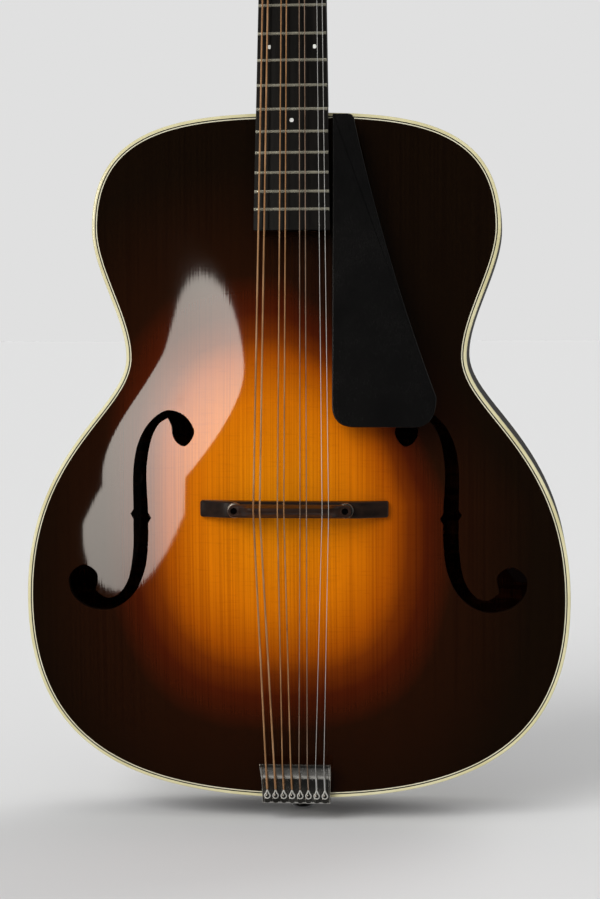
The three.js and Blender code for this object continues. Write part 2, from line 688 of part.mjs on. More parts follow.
function buildBody() {
  piece("top_plate", cut(topBlank, ...SIDES.flatMap(({ sign }) => fHole(sign))), SPRUCE);
  piece("back_plate", carvedPlate(backSurface, backUnderside), MAPLE);

  const binding = (outerZ, innerZ) => {
    const rings = whole.map((station) => {
      const [outer, inner] = [station.point, inset(station, BINDING_WIDTH)];
      return [
        v3(outer.x, outer.y, outerZ),
        v3(outer.x, outer.y, innerZ),
        v3(inner.x, inner.y, innerZ),
        v3(inner.x, inner.y, outerZ),
      ];
    });
    return loft(rings, { loop: true });
  };
  piece("top_binding", binding(0, -BINDING_DEPTH), CREAM);
  piece("back_binding", binding(-RIM_DEPTH, BINDING_DEPTH - RIM_DEPTH), CREAM);

  const ribTop = -BINDING_DEPTH - FIT;
  const ribBottom = BINDING_DEPTH + FIT - RIM_DEPTH;
  const ribSection = [[0, ribTop], [0, ribBottom], [RIB_THICKNESS, ribBottom], [RIB_THICKNESS, ribTop]];
  const liningOuter = RIB_THICKNESS + FIT;
  const liningInner = liningOuter + LINING_WIDTH;
  const rebate = BINDING_WIDTH + FIT;
  const foot = liningOuter + LINING_WIDTH * LINING_FOOT_SHARE;
  const lining = (glue, away) => [
    [rebate + FIT, glue],
    [liningInner, glue],
    [foot, glue + away * LINING_HEIGHT],
    [liningOuter, glue + away * LINING_HEIGHT],
  ];
  const blockRooms = [
    block(
      v3(-TAIL_BLOCK_HALF_WIDTH - FIT, -TAIL_REACH - OVERRUN, -RIM_DEPTH),
      v3(TAIL_BLOCK_HALF_WIDTH + FIT, TAIL_BLOCK_LENGTH - TAIL_REACH, 0),
    ),
    block(
      v3(-NECK_BLOCK_HALF_WIDTH - FIT, SHOULDER_REACH - NECK_BLOCK_LENGTH, -RIM_DEPTH),
      v3(NECK_BLOCK_HALF_WIDTH + FIT, SHOULDER_REACH + OVERRUN, 0),
    ),
  ];
  const pinHole = endPinHole();
  for (const { name, sign } of SIDES) {
    const rib = sweptHalf(ribSection, sign, FIT / 2, TENON_HALF_WIDTH + FIT);
    piece(`rib_${name}`, cut(rib, pinHole), MAPLE);
    const topLining = sweptHalf(lining(-EDGE_THICKNESS - FIT, -1), sign, FIT, FIT);
    const backLining = sweptHalf(lining(EDGE_THICKNESS + FIT - RIM_DEPTH, 1), sign, FIT, FIT);
    piece(`top_lining_${name}`, cut(topLining, ...blockRooms), MAHOGANY);
    piece(`back_lining_${name}`, cut(backLining, ...blockRooms), MAHOGANY);
  }

  const blockTop = -EDGE_THICKNESS - FIT;
  const blockBottom = EDGE_THICKNESS + FIT - RIM_DEPTH;
  const neckFace = SHOULDER_REACH - BINDING_WIDTH - FIT;
  const neckBlock = slab(
    blockOutline(NECK_BLOCK_HALF_WIDTH, neckFace - NECK_BLOCK_LENGTH, half.slice().reverse()),
    blockBottom,
    blockTop,
  );
  const mortise = block(
    v3(-TENON_HALF_WIDTH - FIT, SHOULDER_REACH - TENON_LENGTH - FIT, -BINDING_DEPTH - TENON_DEPTH - FIT * 2),
    v3(TENON_HALF_WIDTH + FIT, neckFace + OVERRUN, blockTop + OVERRUN),
  );
  piece("neck_block", cut(neckBlock, mortise), MAHOGANY);
  const tailFace = BINDING_WIDTH + FIT - TAIL_REACH;
  const tailBlock = slab(
    blockOutline(TAIL_BLOCK_HALF_WIDTH, tailFace + TAIL_BLOCK_LENGTH, half),
    blockBottom,
    blockTop,
  );
  piece("tail_block", cut(tailBlock, pinHole), MAHOGANY);

  for (const { name, sign } of SIDES) {
    const rings = shareList(BAR_STEPS).map((share) => {
      const y = mix(-BAR_LENGTH / 2, BAR_LENGTH / 2, share) + BAR_MIDDLE;
      const x = sign * mix(BAR_SPREAD + BAR_SPLAY, BAR_SPREAD - BAR_SPLAY, share);
      const height = BAR_HEIGHT * mix(BAR_END_SHARE, 1, Math.sin(HALF_TURN * share));
      const bottom = topUnderside(x, y) - height;
      const top = topUnderside(x, y) + FITTING_ALLOWANCE;
      const crest = (BAR_WIDTH / 2) * BAR_CREST_SHARE;
      return [
        v3(x - BAR_WIDTH / 2, y, top),
        v3(x + BAR_WIDTH / 2, y, top),
        v3(x + crest, y, bottom),
        v3(x - crest, y, bottom),
      ];
    });
    piece(`tone_bar_${name}`, fitted(loft(rings), topBlank, -1), PALE_SPRUCE);
  }
}

// The end pin's taper runs through the tailpiece's flange, the ribs' seam and the tail block.
const END_PIN_Z = -RIM_DEPTH * END_PIN_DROP_SHARE;
function alongY(geometry, y, z) {
  const turn = new THREE.Matrix4().makeRotationX(QUARTER_TURN);
  return geometry.applyMatrix4(turn).translate(0, y, z);
}
function endPinHole() {
  const length = TAIL_BLOCK_LENGTH + BINDING_WIDTH + TAILPIECE_WALL + OVERRUN * 4;
  const hole = bar(0, 0, END_PIN_RADIUS + FIT, -length / 2, length / 2, END_PIN_SIDES, true);
  return alongY(hole, TAIL_BLOCK_LENGTH / 2 - TAIL_REACH, END_PIN_Z);
}

// Neck frame: origin on the glue plane under the nut, Y towards the headstock, tilted back.
const FRET_PLANE_ABOVE_GLUE = BOARD_THICKNESS + FRET_HEIGHT;
const GLUE_Z_AT_NUT =
  FRET_PLANE_AT_JOINT - FRET_PLANE_ABOVE_GLUE - Math.tan(NECK_ANGLE) * (SCALE_LENGTH - SHOULDER_REACH);
const neckMatrix = new THREE.Matrix4()
  .makeTranslation(0, SCALE_LENGTH, GLUE_Z_AT_NUT)
  .multiply(new THREE.Matrix4().makeRotationX(-NECK_ANGLE));
const headMatrix = neckMatrix
  .clone()
  .multiply(new THREE.Matrix4().makeTranslation(0, NUT_THICKNESS + FIT, 0))
  .multiply(new THREE.Matrix4().makeRotationX(-HEAD_ANGLE));
const neckGroup = new THREE.Group();
neckGroup.applyMatrix4(neckMatrix);
instrument.add(neckGroup);
const headGroup = new THREE.Group();
headGroup.applyMatrix4(headMatrix);
instrument.add(headGroup);

const JOINT_ALONG = (SCALE_LENGTH - SHOULDER_REACH) / Math.cos(NECK_ANGLE);
const boardHalf = (along) => mix(BOARD_NUT_WIDTH, BOARD_END_WIDTH, along / BOARD_LENGTH) / 2;
const boardTop = (x) => BOARD_THICKNESS - BOARD_RADIUS + Math.sqrt(BOARD_RADIUS ** 2 - x ** 2);

function buildNeck() {
  // Shaft: a flat glue face and a rounded back, from the headstock to the body joint.
  const woodTop = -HEADPLATE_THICKNESS - FIT;
  const woodBottom = woodTop - HEAD_DEPTH;
  const section = (y, halfWide, depth, top = -FIT) =>
    shareList(NECK_ARC_STEPS).map((share) => {
      const angle = HALF_TURN * share;
      const swell = Math.abs(Math.cos(angle)) ** NECK_ROUND_SHARE * Math.sign(Math.cos(angle));
      return v3(halfWide * swell, y, top - (depth + top) * Math.sin(angle) ** NECK_ROUND_SHARE);
    });
  const inBench = (ring, matrix) => ring.map((p) => p.applyMatrix4(matrix));
  const nutHalf = boardHalf(0);
  const nutStep = NUT_THICKNESS - HEADPLATE_THICKNESS * Math.sin(HEAD_ANGLE);
  const shaftRings = [
    inBench(section(SHAFT_INTO_HEAD, nutHalf, -woodBottom - FIT, woodTop - FIT), headMatrix),
    inBench(section(nutStep, nutHalf, NECK_DEPTH_AT_NUT, woodTop - FIT), neckMatrix),
    inBench(section(nutStep - FIT / 2, nutHalf, NECK_DEPTH_AT_NUT), neckMatrix),
  ];
  const shaftEnd = JOINT_ALONG - FIT - NECK_DEPTH_AT_JOINT * Math.sin(NECK_ANGLE);
  for (const share of shareList(NECK_STEPS)) {
    const along = mix(0, shaftEnd, share);
    const depth = mix(NECK_DEPTH_AT_NUT, NECK_DEPTH_AT_JOINT, share);
    shaftRings.push(inBench(section(-along, boardHalf(along), depth), neckMatrix));
  }
  const shaft = loft(shaftRings);

  // Tongue: carries the fingerboard over the body without touching the top.
  const tongueRings = [shaftEnd - OVERRUN, BOARD_LENGTH].map((along) => {
    const wide = boardHalf(along) - TONGUE_INSET;
    return [
      v3(-wide, -along, -FIT),
      v3(wide, -along, -FIT),
      v3(wide, -along, -TONGUE_THICKNESS),
      v3(-wide, -along, -TONGUE_THICKNESS),
    ];
  });
  const tongue = loft(tongueRings).applyMatrix4(neckMatrix);

  // Heel: a flare from the shaft down to the heel cap, flat where it meets the ribs.
  const heelFace = SHOULDER_REACH + FIT;
  const heelTop = FRET_PLANE_AT_JOINT - FRET_PLANE_ABOVE_GLUE - NECK_DEPTH_AT_JOINT / 2;
  const heelEnd = HEEL_CAP_THICKNESS + FIT - RIM_DEPTH;
  const heelSection = (share) => {
    const flare = (1 - share) ** HEEL_CURVE_SHARE;
    const length = mix(HEEL_LENGTH_END, HEEL_LENGTH_TOP, flare);
    const wide = mix(HEEL_HALF_WIDTH_END, boardHalf(JOINT_ALONG) * HEEL_TOP_SHARE, flare);
    return { length, wide };
  };
  const heelRing = (share, z) => {
    const { length, wide } = heelSection(share);
    return shareList(HEEL_ARC_STEPS).map((part) => {
      const angle = HALF_TURN * part;
      return v3(wide * Math.cos(angle), heelFace + length * Math.sin(angle), z);
    });
  };
  const heel = loft(shareList(HEEL_STEPS).map((share) => heelRing(share, mix(heelTop, heelEnd, share))));
  const tenon = block(
    v3(-TENON_HALF_WIDTH, SHOULDER_REACH - TENON_LENGTH, -BINDING_DEPTH - FIT - TENON_DEPTH),
    v3(TENON_HALF_WIDTH, heelFace + OVERRUN, -BINDING_DEPTH - FIT),
  );
  piece("heel_cap", loft([heelEnd - FIT, -RIM_DEPTH].map((z) => heelRing(1, z))), EBONY);

  // Headstock: a slab with flared shoulders and a low crown, bored for the posts.
  const head = slab(headOutline(HEAD_CROWN), woodBottom, woodTop).applyMatrix4(headMatrix);
  const bores = machinePlaces().map(({ x, y }) =>
    bar(x, y, POST_BORE_RADIUS, woodBottom - OVERRUN, OVERRUN, BORE_SIDES, true).applyMatrix4(headMatrix),
  );
  const channel = block(
    v3(-ROD_RADIUS - FIT, -JOINT_ALONG + ROD_ANCHOR - FIT, -ROD_DROP - ROD_RADIUS - FIT),
    v3(ROD_RADIUS + FIT, NUT_THICKNESS, OVERRUN),
  ).applyMatrix4(neckMatrix);
  const pocket = block(
    v3(-ROD_POCKET_HALF_WIDTH, ROD_NUT_STANDOFF - FIT * 2, -ROD_DROP - ROD_NUT_RADIUS - FIT),
    v3(ROD_POCKET_HALF_WIDTH, ROD_NUT_STANDOFF + ROD_POCKET_LENGTH, OVERRUN * 4),
  ).applyMatrix4(neckMatrix);
  const rodHole = block(
    v3(-ROD_RADIUS - FIT, 0, -ROD_DROP - ROD_RADIUS - FIT),
    v3(ROD_RADIUS + FIT, ROD_NUT_STANDOFF, FIT - ROD_DROP + ROD_RADIUS),
  ).applyMatrix4(neckMatrix);
  const blank = joined(shaft, tongue, heel, tenon, head);
  piece("neck", cut(blank, channel, rodHole, pocket, ...bores), LACQUERED_NECK);

  const plateBores = machinePlaces().map(({ x, y }) =>
    bar(x, y, POST_BORE_RADIUS, woodTop - OVERRUN, OVERRUN, BORE_SIDES, true),
  );
  const platePocket = block(
    v3(-ROD_POCKET_HALF_WIDTH, -OVERRUN, woodTop - OVERRUN),
    v3(ROD_POCKET_HALF_WIDTH, ROD_NUT_STANDOFF + ROD_POCKET_LENGTH - NUT_THICKNESS, OVERRUN),
  );
  const plate = slab(headOutline(HEAD_CROWN), -HEADPLATE_THICKNESS, 0);
  piece("headplate", cut(plate, ...plateBores, platePocket), EBONY, headGroup);

  const rodEnds = [v3(0, ROD_ANCHOR - JOINT_ALONG, -ROD_DROP), v3(0, ROD_NUT_STANDOFF - FIT, -ROD_DROP)];
  piece("truss_rod", tube(rodEnds, ROD_RADIUS, ROD_SIDES), STEEL, neckGroup);
  const rodNut = tube([v3(0, 0, 0), v3(0, ROD_NUT_LENGTH, 0)], ROD_NUT_RADIUS, HEX_SIDES);
  piece("truss_rod_nut", rodNut, BRASS, neckGroup).position.set(0, ROD_NUT_STANDOFF, -ROD_DROP);

  const coverBase = COVER_STANDOFF + COVER_LENGTH;
  const cover = [v2(-COVER_HALF_WIDTH, COVER_STANDOFF), v2(COVER_HALF_WIDTH, COVER_STANDOFF)];
  for (const share of shareList(HEAD_CURVE_STEPS)) {
    const angle = HALF_TURN * share;
    const wide = mix(COVER_HALF_WIDTH, COVER_TIP_HALF_WIDTH, Math.sin(angle));
    cover.push(v2(wide * Math.cos(angle), coverBase - COVER_HALF_WIDTH * (1 - Math.sin(angle))));
  }
  piece("truss_rod_cover", slab(cover, FIT, FIT + COVER_THICKNESS), BLACK_PLASTIC, headGroup);
}

// Headstock outline in its own frame: shoulders, straight sides, a crowned end.
function headOutline(crown) {
  const rightSide = [];
  for (const share of shareList(HEAD_CURVE_STEPS)) {
    const blend = (1 - Math.cos(HALF_TURN * share)) / 2;
    rightSide.push(v2(mix(BOARD_NUT_WIDTH / 2, HEAD_HALF_WIDTH, blend), mix(0, HEAD_SHOULDER, share)));
  }
  for (const share of shareList(HEAD_CURVE_STEPS)) {
    const angle = QUARTER_TURN * share;
    rightSide.push(v2(HEAD_TIP_HALF_WIDTH * Math.cos(angle), HEAD_LENGTH - crown * (1 - Math.sin(angle))));
  }
  const leftSide = rightSide.slice(0, -1).reverse().map((p) => v2(-p.x, p.y));
  return [...rightSide, ...leftSide];
}

// Fingerboard: a shallow cylinder on top, which steps up over each fret.
function buildFingerboard() {
  const arcRow = (along, lift, bottom) => {
    const wide = boardHalf(along);
    const arc = shareList(BOARD_ARC_STEPS).map((share) => mix(wide, -wide, share));
    return [
      v3(-wide, -along, bottom),
      v3(wide, -along, bottom),
      ...arc.map((x) => v3(x, -along, boardTop(x) + lift)),
    ];
  };
  const rows = [arcRow(FIT, 0, 0)];
  for (let fret = 1; fret <= FRET_COUNT; fret++) {
    const along = SCALE_LENGTH * (1 - 2 ** (-fret / SEMITONES));
    rows.push(
      arcRow(along - FRET_WIDTH / 2, 0, 0),
      arcRow(along, FRET_HEIGHT, 0),
      arcRow(along + FRET_WIDTH / 2, 0, 0),
    );
  }
  rows.push(arcRow(BOARD_LENGTH, 0, 0));
  piece("fingerboard", loft(rows), EBONY, neckGroup);
}

// String places: which course, the place in its pair, and the radius.
const strings = COURSE_NAMES.flatMap((course, index) =>
  [-1, 1].map((pair, member) => {
    const order = index * 2 + member;
    const sideSign = index < COURSE_NAMES.length / 2 ? -1 : 1;
    const fromOutside = sideSign < 0 ? order : STRING_COUNT - 1 - order;
    return {
      name: `string_${course}${member + 1}`,
      radius: COURSE_RADII[index],
      bronze: index < COURSE_NAMES.length / 2,
      saddleX: SADDLE_SPREAD * SADDLE_COURSE_SHARES[index] + (pair * SADDLE_PAIR_GAP) / 2,
      nutX: NUT_SPREAD * NUT_COURSE_SHARES[index] + (pair * NUT_PAIR_GAP) / 2,
      tailX: TAIL_STRING_PITCH * (order - (STRING_COUNT - 1) / 2),
      sign: sideSign,
      slot: fromOutside,
    };
  }),
);

// Where a string crosses the nut, in the neck frame, and the bridge, in the bench frame.
const nutCrossing = (string) =>
  v3(string.nutX, NUT_THICKNESS - FIT, boardTop(string.nutX) + FRET_HEIGHT + NUT_ACTION + string.radius);
const saddleCrossing = (string) => {
  const fall = SCALE_LENGTH * Math.sin(NECK_ANGLE);
  const fretPlane = GLUE_Z_AT_NUT + (FRET_PLANE_ABOVE_GLUE + fall) / Math.cos(NECK_ANGLE);
  return v3(string.saddleX, 0, fretPlane + ACTION_AT_TWELFTH * 2 - NUT_ACTION + string.radius);
};
const SADDLE_TOP = saddleCrossing({ saddleX: 0, radius: 0 }).z - FIT;

function buildNut() {
  const wide = boardHalf(0);
  const top = BOARD_THICKNESS + FRET_HEIGHT + NUT_ACTION + NUT_CROWN;
  const outline = [
    v2(-wide, 0),
    v2(wide, 0),
    v2(wide, top - NUT_CROWN),
    v2(wide - NUT_CROWN, top),
    v2(NUT_CROWN - wide, top),
    v2(-wide, top - NUT_CROWN),
  ];
  const rings = [FIT, NUT_THICKNESS - FIT].map((y) => outline.map((p) => v3(p.x, y, p.y)));
  const slots = strings.map((string) => {
    const at = nutCrossing(string);
    const reach = string.radius + FIT;
    const low = v3(at.x - reach, -OVERRUN, at.z - reach);
    return block(low, v3(at.x + reach, NUT_THICKNESS + OVERRUN, top + OVERRUN));
  });
  piece("nut", cut(loft(rings), ...slots), BONE, neckGroup);
}

// Machine places in the head frame: four posts a side, the first nearest the nut.
function machinePlaces() {
  return SIDES.flatMap(({ name, sign }) =>
    Array.from({ length: MACHINES_PER_SIDE }, (_, slot) => ({
      name: `${name}_${slot + 1}`,
      sign,
      slot,
      x: sign * POST_SPREAD,
      y: POST_FIRST + POST_PITCH * slot,
    })),
  );
}

const GEAR_PITCH_RADIUS = (GEAR_MODULE * GEAR_TEETH) / 2;
const GEAR_TIP_RADIUS = GEAR_PITCH_RADIUS + GEAR_MODULE;
const GEAR_ROOT_RADIUS = GEAR_PITCH_RADIUS - GEAR_MODULE * GEAR_DEDENDUM_SHARE;
const WORM_PITCH = HALF_TURN * GEAR_MODULE;
const WORM_TIP_RADIUS = WORM_PITCH_RADIUS + GEAR_MODULE;
const WORM_ROOT_RADIUS = WORM_PITCH_RADIUS - GEAR_MODULE * GEAR_DEDENDUM_SHARE;
const WORM_CENTRES = GEAR_PITCH_RADIUS + WORM_PITCH_RADIUS;
const PLATE_TOP = -HEADPLATE_THICKNESS - FIT - HEAD_DEPTH - FIT;
const PLATE_BACK = PLATE_TOP - TUNER_PLATE_THICKNESS;
const WORM_Z = PLATE_BACK - FIT - WORM_TIP_RADIUS;
const GEAR_TOP = WORM_Z + GEAR_THICKNESS / 2;
const TOOTH_HALF = (WORM_PITCH - BACKLASH) / 4;
const FLANK = Math.tan(PRESSURE_ANGLE);
const EAR_REACH = (WORM_PITCH * WORM_TURNS) / 2 + EAR_STANDOFF;

// The gear's teeth lean by the worm's lead, so that they follow its thread.
function gearBody() {
  const lean = WORM_PITCH / (TURN * WORM_PITCH_RADIUS) / GEAR_PITCH_RADIUS;
  const tipHalf = (TOOTH_HALF - GEAR_MODULE * FLANK) / GEAR_TIP_RADIUS;
  const rootHalf = (TOOTH_HALF + GEAR_MODULE * GEAR_DEDENDUM_SHARE * FLANK) / GEAR_PITCH_RADIUS;
  const rings = [-1, 1].map((end) => {
    const z = (end * GEAR_THICKNESS) / 2;
    return Array.from({ length: GEAR_TEETH }, (_, tooth) => {
      const middle = QUARTER_TURN + (TURN * (tooth + HALF_SHARE)) / GEAR_TEETH + lean * z;
      return [
        [GEAR_ROOT_RADIUS, middle - rootHalf],
        [GEAR_TIP_RADIUS, middle - tipHalf],
        [GEAR_TIP_RADIUS, middle + tipHalf],
        [GEAR_ROOT_RADIUS, middle + rootHalf],
      ].map(([radius, angle]) => v3(radius * Math.cos(angle), radius * Math.sin(angle), z));
    }).flat();
  });
  return loft(rings);
}

// The worm in one skin with its shaft and button. Lines of vertices follow the thread: four to each
// turn, at the foot and the tip of both flanks. The ridge crosses the gear's plane at X zero, on the
// gear's side, and runs out to the shaft at both ends.
function wormAndButton(tail, buttonStart) {
  const tipHalf = TOOTH_HALF - GEAR_MODULE * FLANK;
  const rootHalf = TOOTH_HALF + GEAR_MODULE * GEAR_DEDENDUM_SHARE * FLANK;
  const flanks = [
    [-rootHalf, WORM_ROOT_RADIUS],
    [-tipHalf, WORM_TIP_RADIUS],
    [tipHalf, WORM_TIP_RADIUS],
    [rootHalf, WORM_ROOT_RADIUS],
  ];
  const points = [];
  const indices = [];
  const add = (along, radius, step, flat = 1) => {
    const angle = (TURN * step) / WORM_STEPS;
    points.push(v3(along, radius * Math.cos(angle), radius * flat * Math.sin(angle)));
    return points.length - 1;
  };
  const lines = [];
  for (let turn = 0; turn < WORM_TURNS; turn++) {
    for (const [offset, radius] of flanks) {
      lines.push((step) => {
        const passed = turn + step / WORM_STEPS;
        const runOut = clamp(Math.min(passed, WORM_TURNS - passed) * flanks.length, 0, 1);
        const along = WORM_PITCH * (passed - WORM_TURNS / 2) + offset;
        return add(along, mix(WORM_ROOT_RADIUS, radius, runOut), step);
      });
    }
  }
  const columns = lines.map((line) => Array.from({ length: WORM_STEPS }, (_, step) => line(step)));
  const wrapped = lines.map((line, k) => {
    const onNextTurn = columns[k + flanks.length];
    return onNextTurn ? onNextTurn[0] : line(WORM_STEPS);
  });
  const at = (k, step) => (step === WORM_STEPS ? wrapped[k] : columns[k][step]);
  const quad = (a, b, c, d) => indices.push(a, b, c, a, c, d);
  const strip = (k, step) => quad(at(k, step), at(k, step + 1), at(k + 1, step + 1), at(k + 1, step));
  for (let k = 0; k + 1 < lines.length; k++) {
    for (let step = 0; step < WORM_STEPS; step++) strip(k, step);
  }

  const ringAt = (along, radius, flat) =>
    Array.from({ length: WORM_STEPS }, (_, step) => add(along, radius, step, flat));
  const band = (low, high) => low.forEach((_, i) => {
    const next = (i + 1) % WORM_STEPS;
    quad(low[i], low[next], high[next], high[i]);
  });
  const tailRing = ringAt(-tail, WORM_ROOT_RADIUS);
  const lastStep = WORM_STEPS - 1;
  for (let step = 0; step < lastStep; step++) {
    quad(tailRing[step], tailRing[step + 1], at(0, step + 1), at(0, step));
  }
  quad(tailRing[lastStep], tailRing[0], at(0, 0), at(0, lastStep));
  for (let k = 0; k < flanks.length; k++) {
    const next = columns[k + 1] ? columns[k + 1][0] : wrapped[k];
    indices.push(at(0, lastStep), columns[k][0], next);
  }

  const final = lines.length - 1;
  const neckRing = ringAt(buttonStart, WORM_ROOT_RADIUS);
  for (let step = 1; step < WORM_STEPS; step++)
    quad(at(final, step), at(final, step + 1), neckRing[(step + 1) % WORM_STEPS], neckRing[step]);
  const seam = [columns[final][0], ...wrapped.slice(-flanks.length), neckRing[0], neckRing[1]];
  for (let i = 0; i + 1 < seam.length; i++) indices.push(at(final, 1), seam[i + 1], seam[i]);

  let previous = ringAt(buttonStart, BUTTON_NECK_RADIUS, 1);
  band(neckRing, previous);
  for (const [along, wide] of BUTTON_PROFILE_SHARES) {
    const next = ringAt(buttonStart + BUTTON_LENGTH * along, BUTTON_RADIUS * wide, BUTTON_FLAT_SHARE);
    band(previous, next);
    previous = next;
  }
  for (let step = 1; step < lastStep; step++) {
    indices.push(tailRing[0], tailRing[step + 1], tailRing[step]);
    indices.push(previous[0], previous[step], previous[step + 1]);
  }
  return closedBody(points, indices);
}

// A turned shape about X from rows of radius and distance.
function alongX(rows, sides) {
  const turn = new THREE.Matrix4().makeRotationY(QUARTER_TURN);
  return turned(rows, sides).applyMatrix4(turn);
}

function buildMachines() {
  const tail = EAR_REACH + EAR_THICKNESS + FIT;
  const worm = wormAndButton(tail, HEAD_HALF_WIDTH - POST_SPREAD + BUTTON_CLEARANCE);

  let leastGap = Infinity;
  for (const place of machinePlaces()) {
    const wormMesh = piece(`tuner_button_${place.name}`, worm.clone(), NICKEL, headGroup);
    wormMesh.position.set(place.x, place.y + WORM_CENTRES, WORM_Z);
    if (place.sign < 0) wormMesh.rotation.y = HALF_TURN;
  }
  for (const place of machinePlaces()) {
    const string = strings.find(({ sign, slot }) => sign === place.sign && slot === place.slot);
    const coil = winding(string);
    leastGap = Math.min(leastGap, coil.gap);
    const post = turned([
      [GEAR_SCREW_RADIUS, GEAR_TOP - GEAR_THICKNESS - GEAR_SCREW_HEIGHT],
      [GEAR_SCREW_RADIUS, GEAR_TOP - GEAR_THICKNESS],
      [POST_RADIUS, GEAR_TOP - GEAR_THICKNESS + FIT],
      [POST_RADIUS, FIT],
      [COLLAR_RADIUS, FIT],
      [COLLAR_RADIUS, FIT + COLLAR_HEIGHT],
      [POST_RADIUS, FIT + COLLAR_HEIGHT],
      [POST_RADIUS, POST_HEIGHT - FIT],
      [POST_RADIUS - FIT, POST_HEIGHT],
    ], POST_SIDES).rotateZ(coil.start);
    const gear = gearBody().translate(0, 0, WORM_Z);
    const mesh = piece(`tuner_post_${place.name}`, joined(post, gear, coil.geometry), NICKEL, headGroup);
    mesh.position.set(place.x, place.y, 0);
  }
  console.log(`least gap between a winding's turns: ${leastGap.toFixed(2)} mm`);

  for (const { name, sign } of SIDES) {
    const low = POST_FIRST - TUNER_PLATE_END;
    const high = POST_FIRST + POST_PITCH * (MACHINES_PER_SIDE - 1) + WORM_CENTRES + TUNER_PLATE_END / 2;
    const x = sign * POST_SPREAD;
    const base = block(
      v3(x - TUNER_PLATE_HALF_WIDTH, low, PLATE_BACK),
      v3(x + TUNER_PLATE_HALF_WIDTH, high, PLATE_TOP),
    );
    const parts = [];
    const bores = [];
    const places = machinePlaces().filter((place) => place.sign === sign);
    for (const { y } of places) {
      bores.push(bar(x, y, POST_RADIUS + FIT, PLATE_BACK - OVERRUN, PLATE_TOP + OVERRUN, BORE_SIDES, true));
      for (const side of [-1, 1]) {
        const middle = x + side * (EAR_REACH + EAR_THICKNESS / 2);
        const axis = y + WORM_CENTRES;
        const root = PLATE_BACK + TUNER_PLATE_THICKNESS / 2;
        parts.push(block(
          v3(middle - EAR_THICKNESS / 2, axis - EAR_HALF_WIDTH, WORM_Z - EAR_CROWN),
          v3(middle + EAR_THICKNESS / 2, axis + EAR_HALF_WIDTH, root),
        ));
      }
      const reach = EAR_REACH + EAR_THICKNESS + OVERRUN;
      const bore = (WORM_ROOT_RADIUS + RUNNING) / Math.cos(HALF_TURN / WORM_STEPS);
      bores.push(alongX([[bore, -reach], [bore, reach]], WORM_STEPS).translate(x, y + WORM_CENTRES, WORM_Z));
    }
    piece(`tuner_plate_${name}`, cut(joined(base, ...parts), ...bores), NICKEL, headGroup);
  }
}

// The straight run from the nut meets its winding on the inner side of the post. The winding runs down
// the post and ends in its cross hole.
const windingRadius = (string) => POST_RADIUS + string.radius + WINDING_CLEAR;
function approach(string) {
  const nutInHead = nutCrossing(string).applyMatrix4(neckMatrix).applyMatrix4(headMatrix.clone().invert());
  const post = v2(string.sign * POST_SPREAD, POST_FIRST + POST_PITCH * string.slot);
  const toPost = post.clone().sub(v2(nutInHead.x, nutInHead.y));
  const distance = toPost.length();
  const radius = windingRadius(string);
  const bearing = toPost.angle() + string.sign * Math.asin(radius / distance);
  const along = v2(Math.cos(bearing), Math.sin(bearing));
  const outward = v2(along.y, -along.x).multiplyScalar(-string.sign);
  const height = WINDING_TOP;
  return { nutInHead, post, along, outward, radius, height };
}

function winding(string) {
  const { outward, radius, height } = approach(string);
  const pitch = string.radius * 2 + WINDING_GAP;
  const start = outward.angle();
  const steps = Math.round(WINDING_TURNS * WINDING_STEPS);
  const points = shareList(steps).map((share) => {
    const turn = WINDING_TURNS * share;
    const angle = start - string.sign * TURN * turn;
    return v3(radius * Math.cos(angle), radius * Math.sin(angle), height - pitch * turn);
  });
  const gaps = points.slice(WINDING_STEPS).map((p, i) => p.distanceTo(points[i]) - string.radius * 2);
  const last = points[points.length - 1];
  points.push(v3(last.x / 2, last.y / 2, last.z));
  return { geometry: tube(points, string.radius, WINDING_SIDES), gap: Math.min(...gaps), start };
}

// Pegs stand in a row on the tailpiece's bed, one for each string.
const TAILPIECE_EDGE = -TAIL_REACH - TAILPIECE_CLEAR;
const PEG_Y = TAILPIECE_EDGE + PEG_INSET;
const LOOP_Z = TAILPIECE_BED_TOP + LOOP_WIRE_RADIUS + FIT;

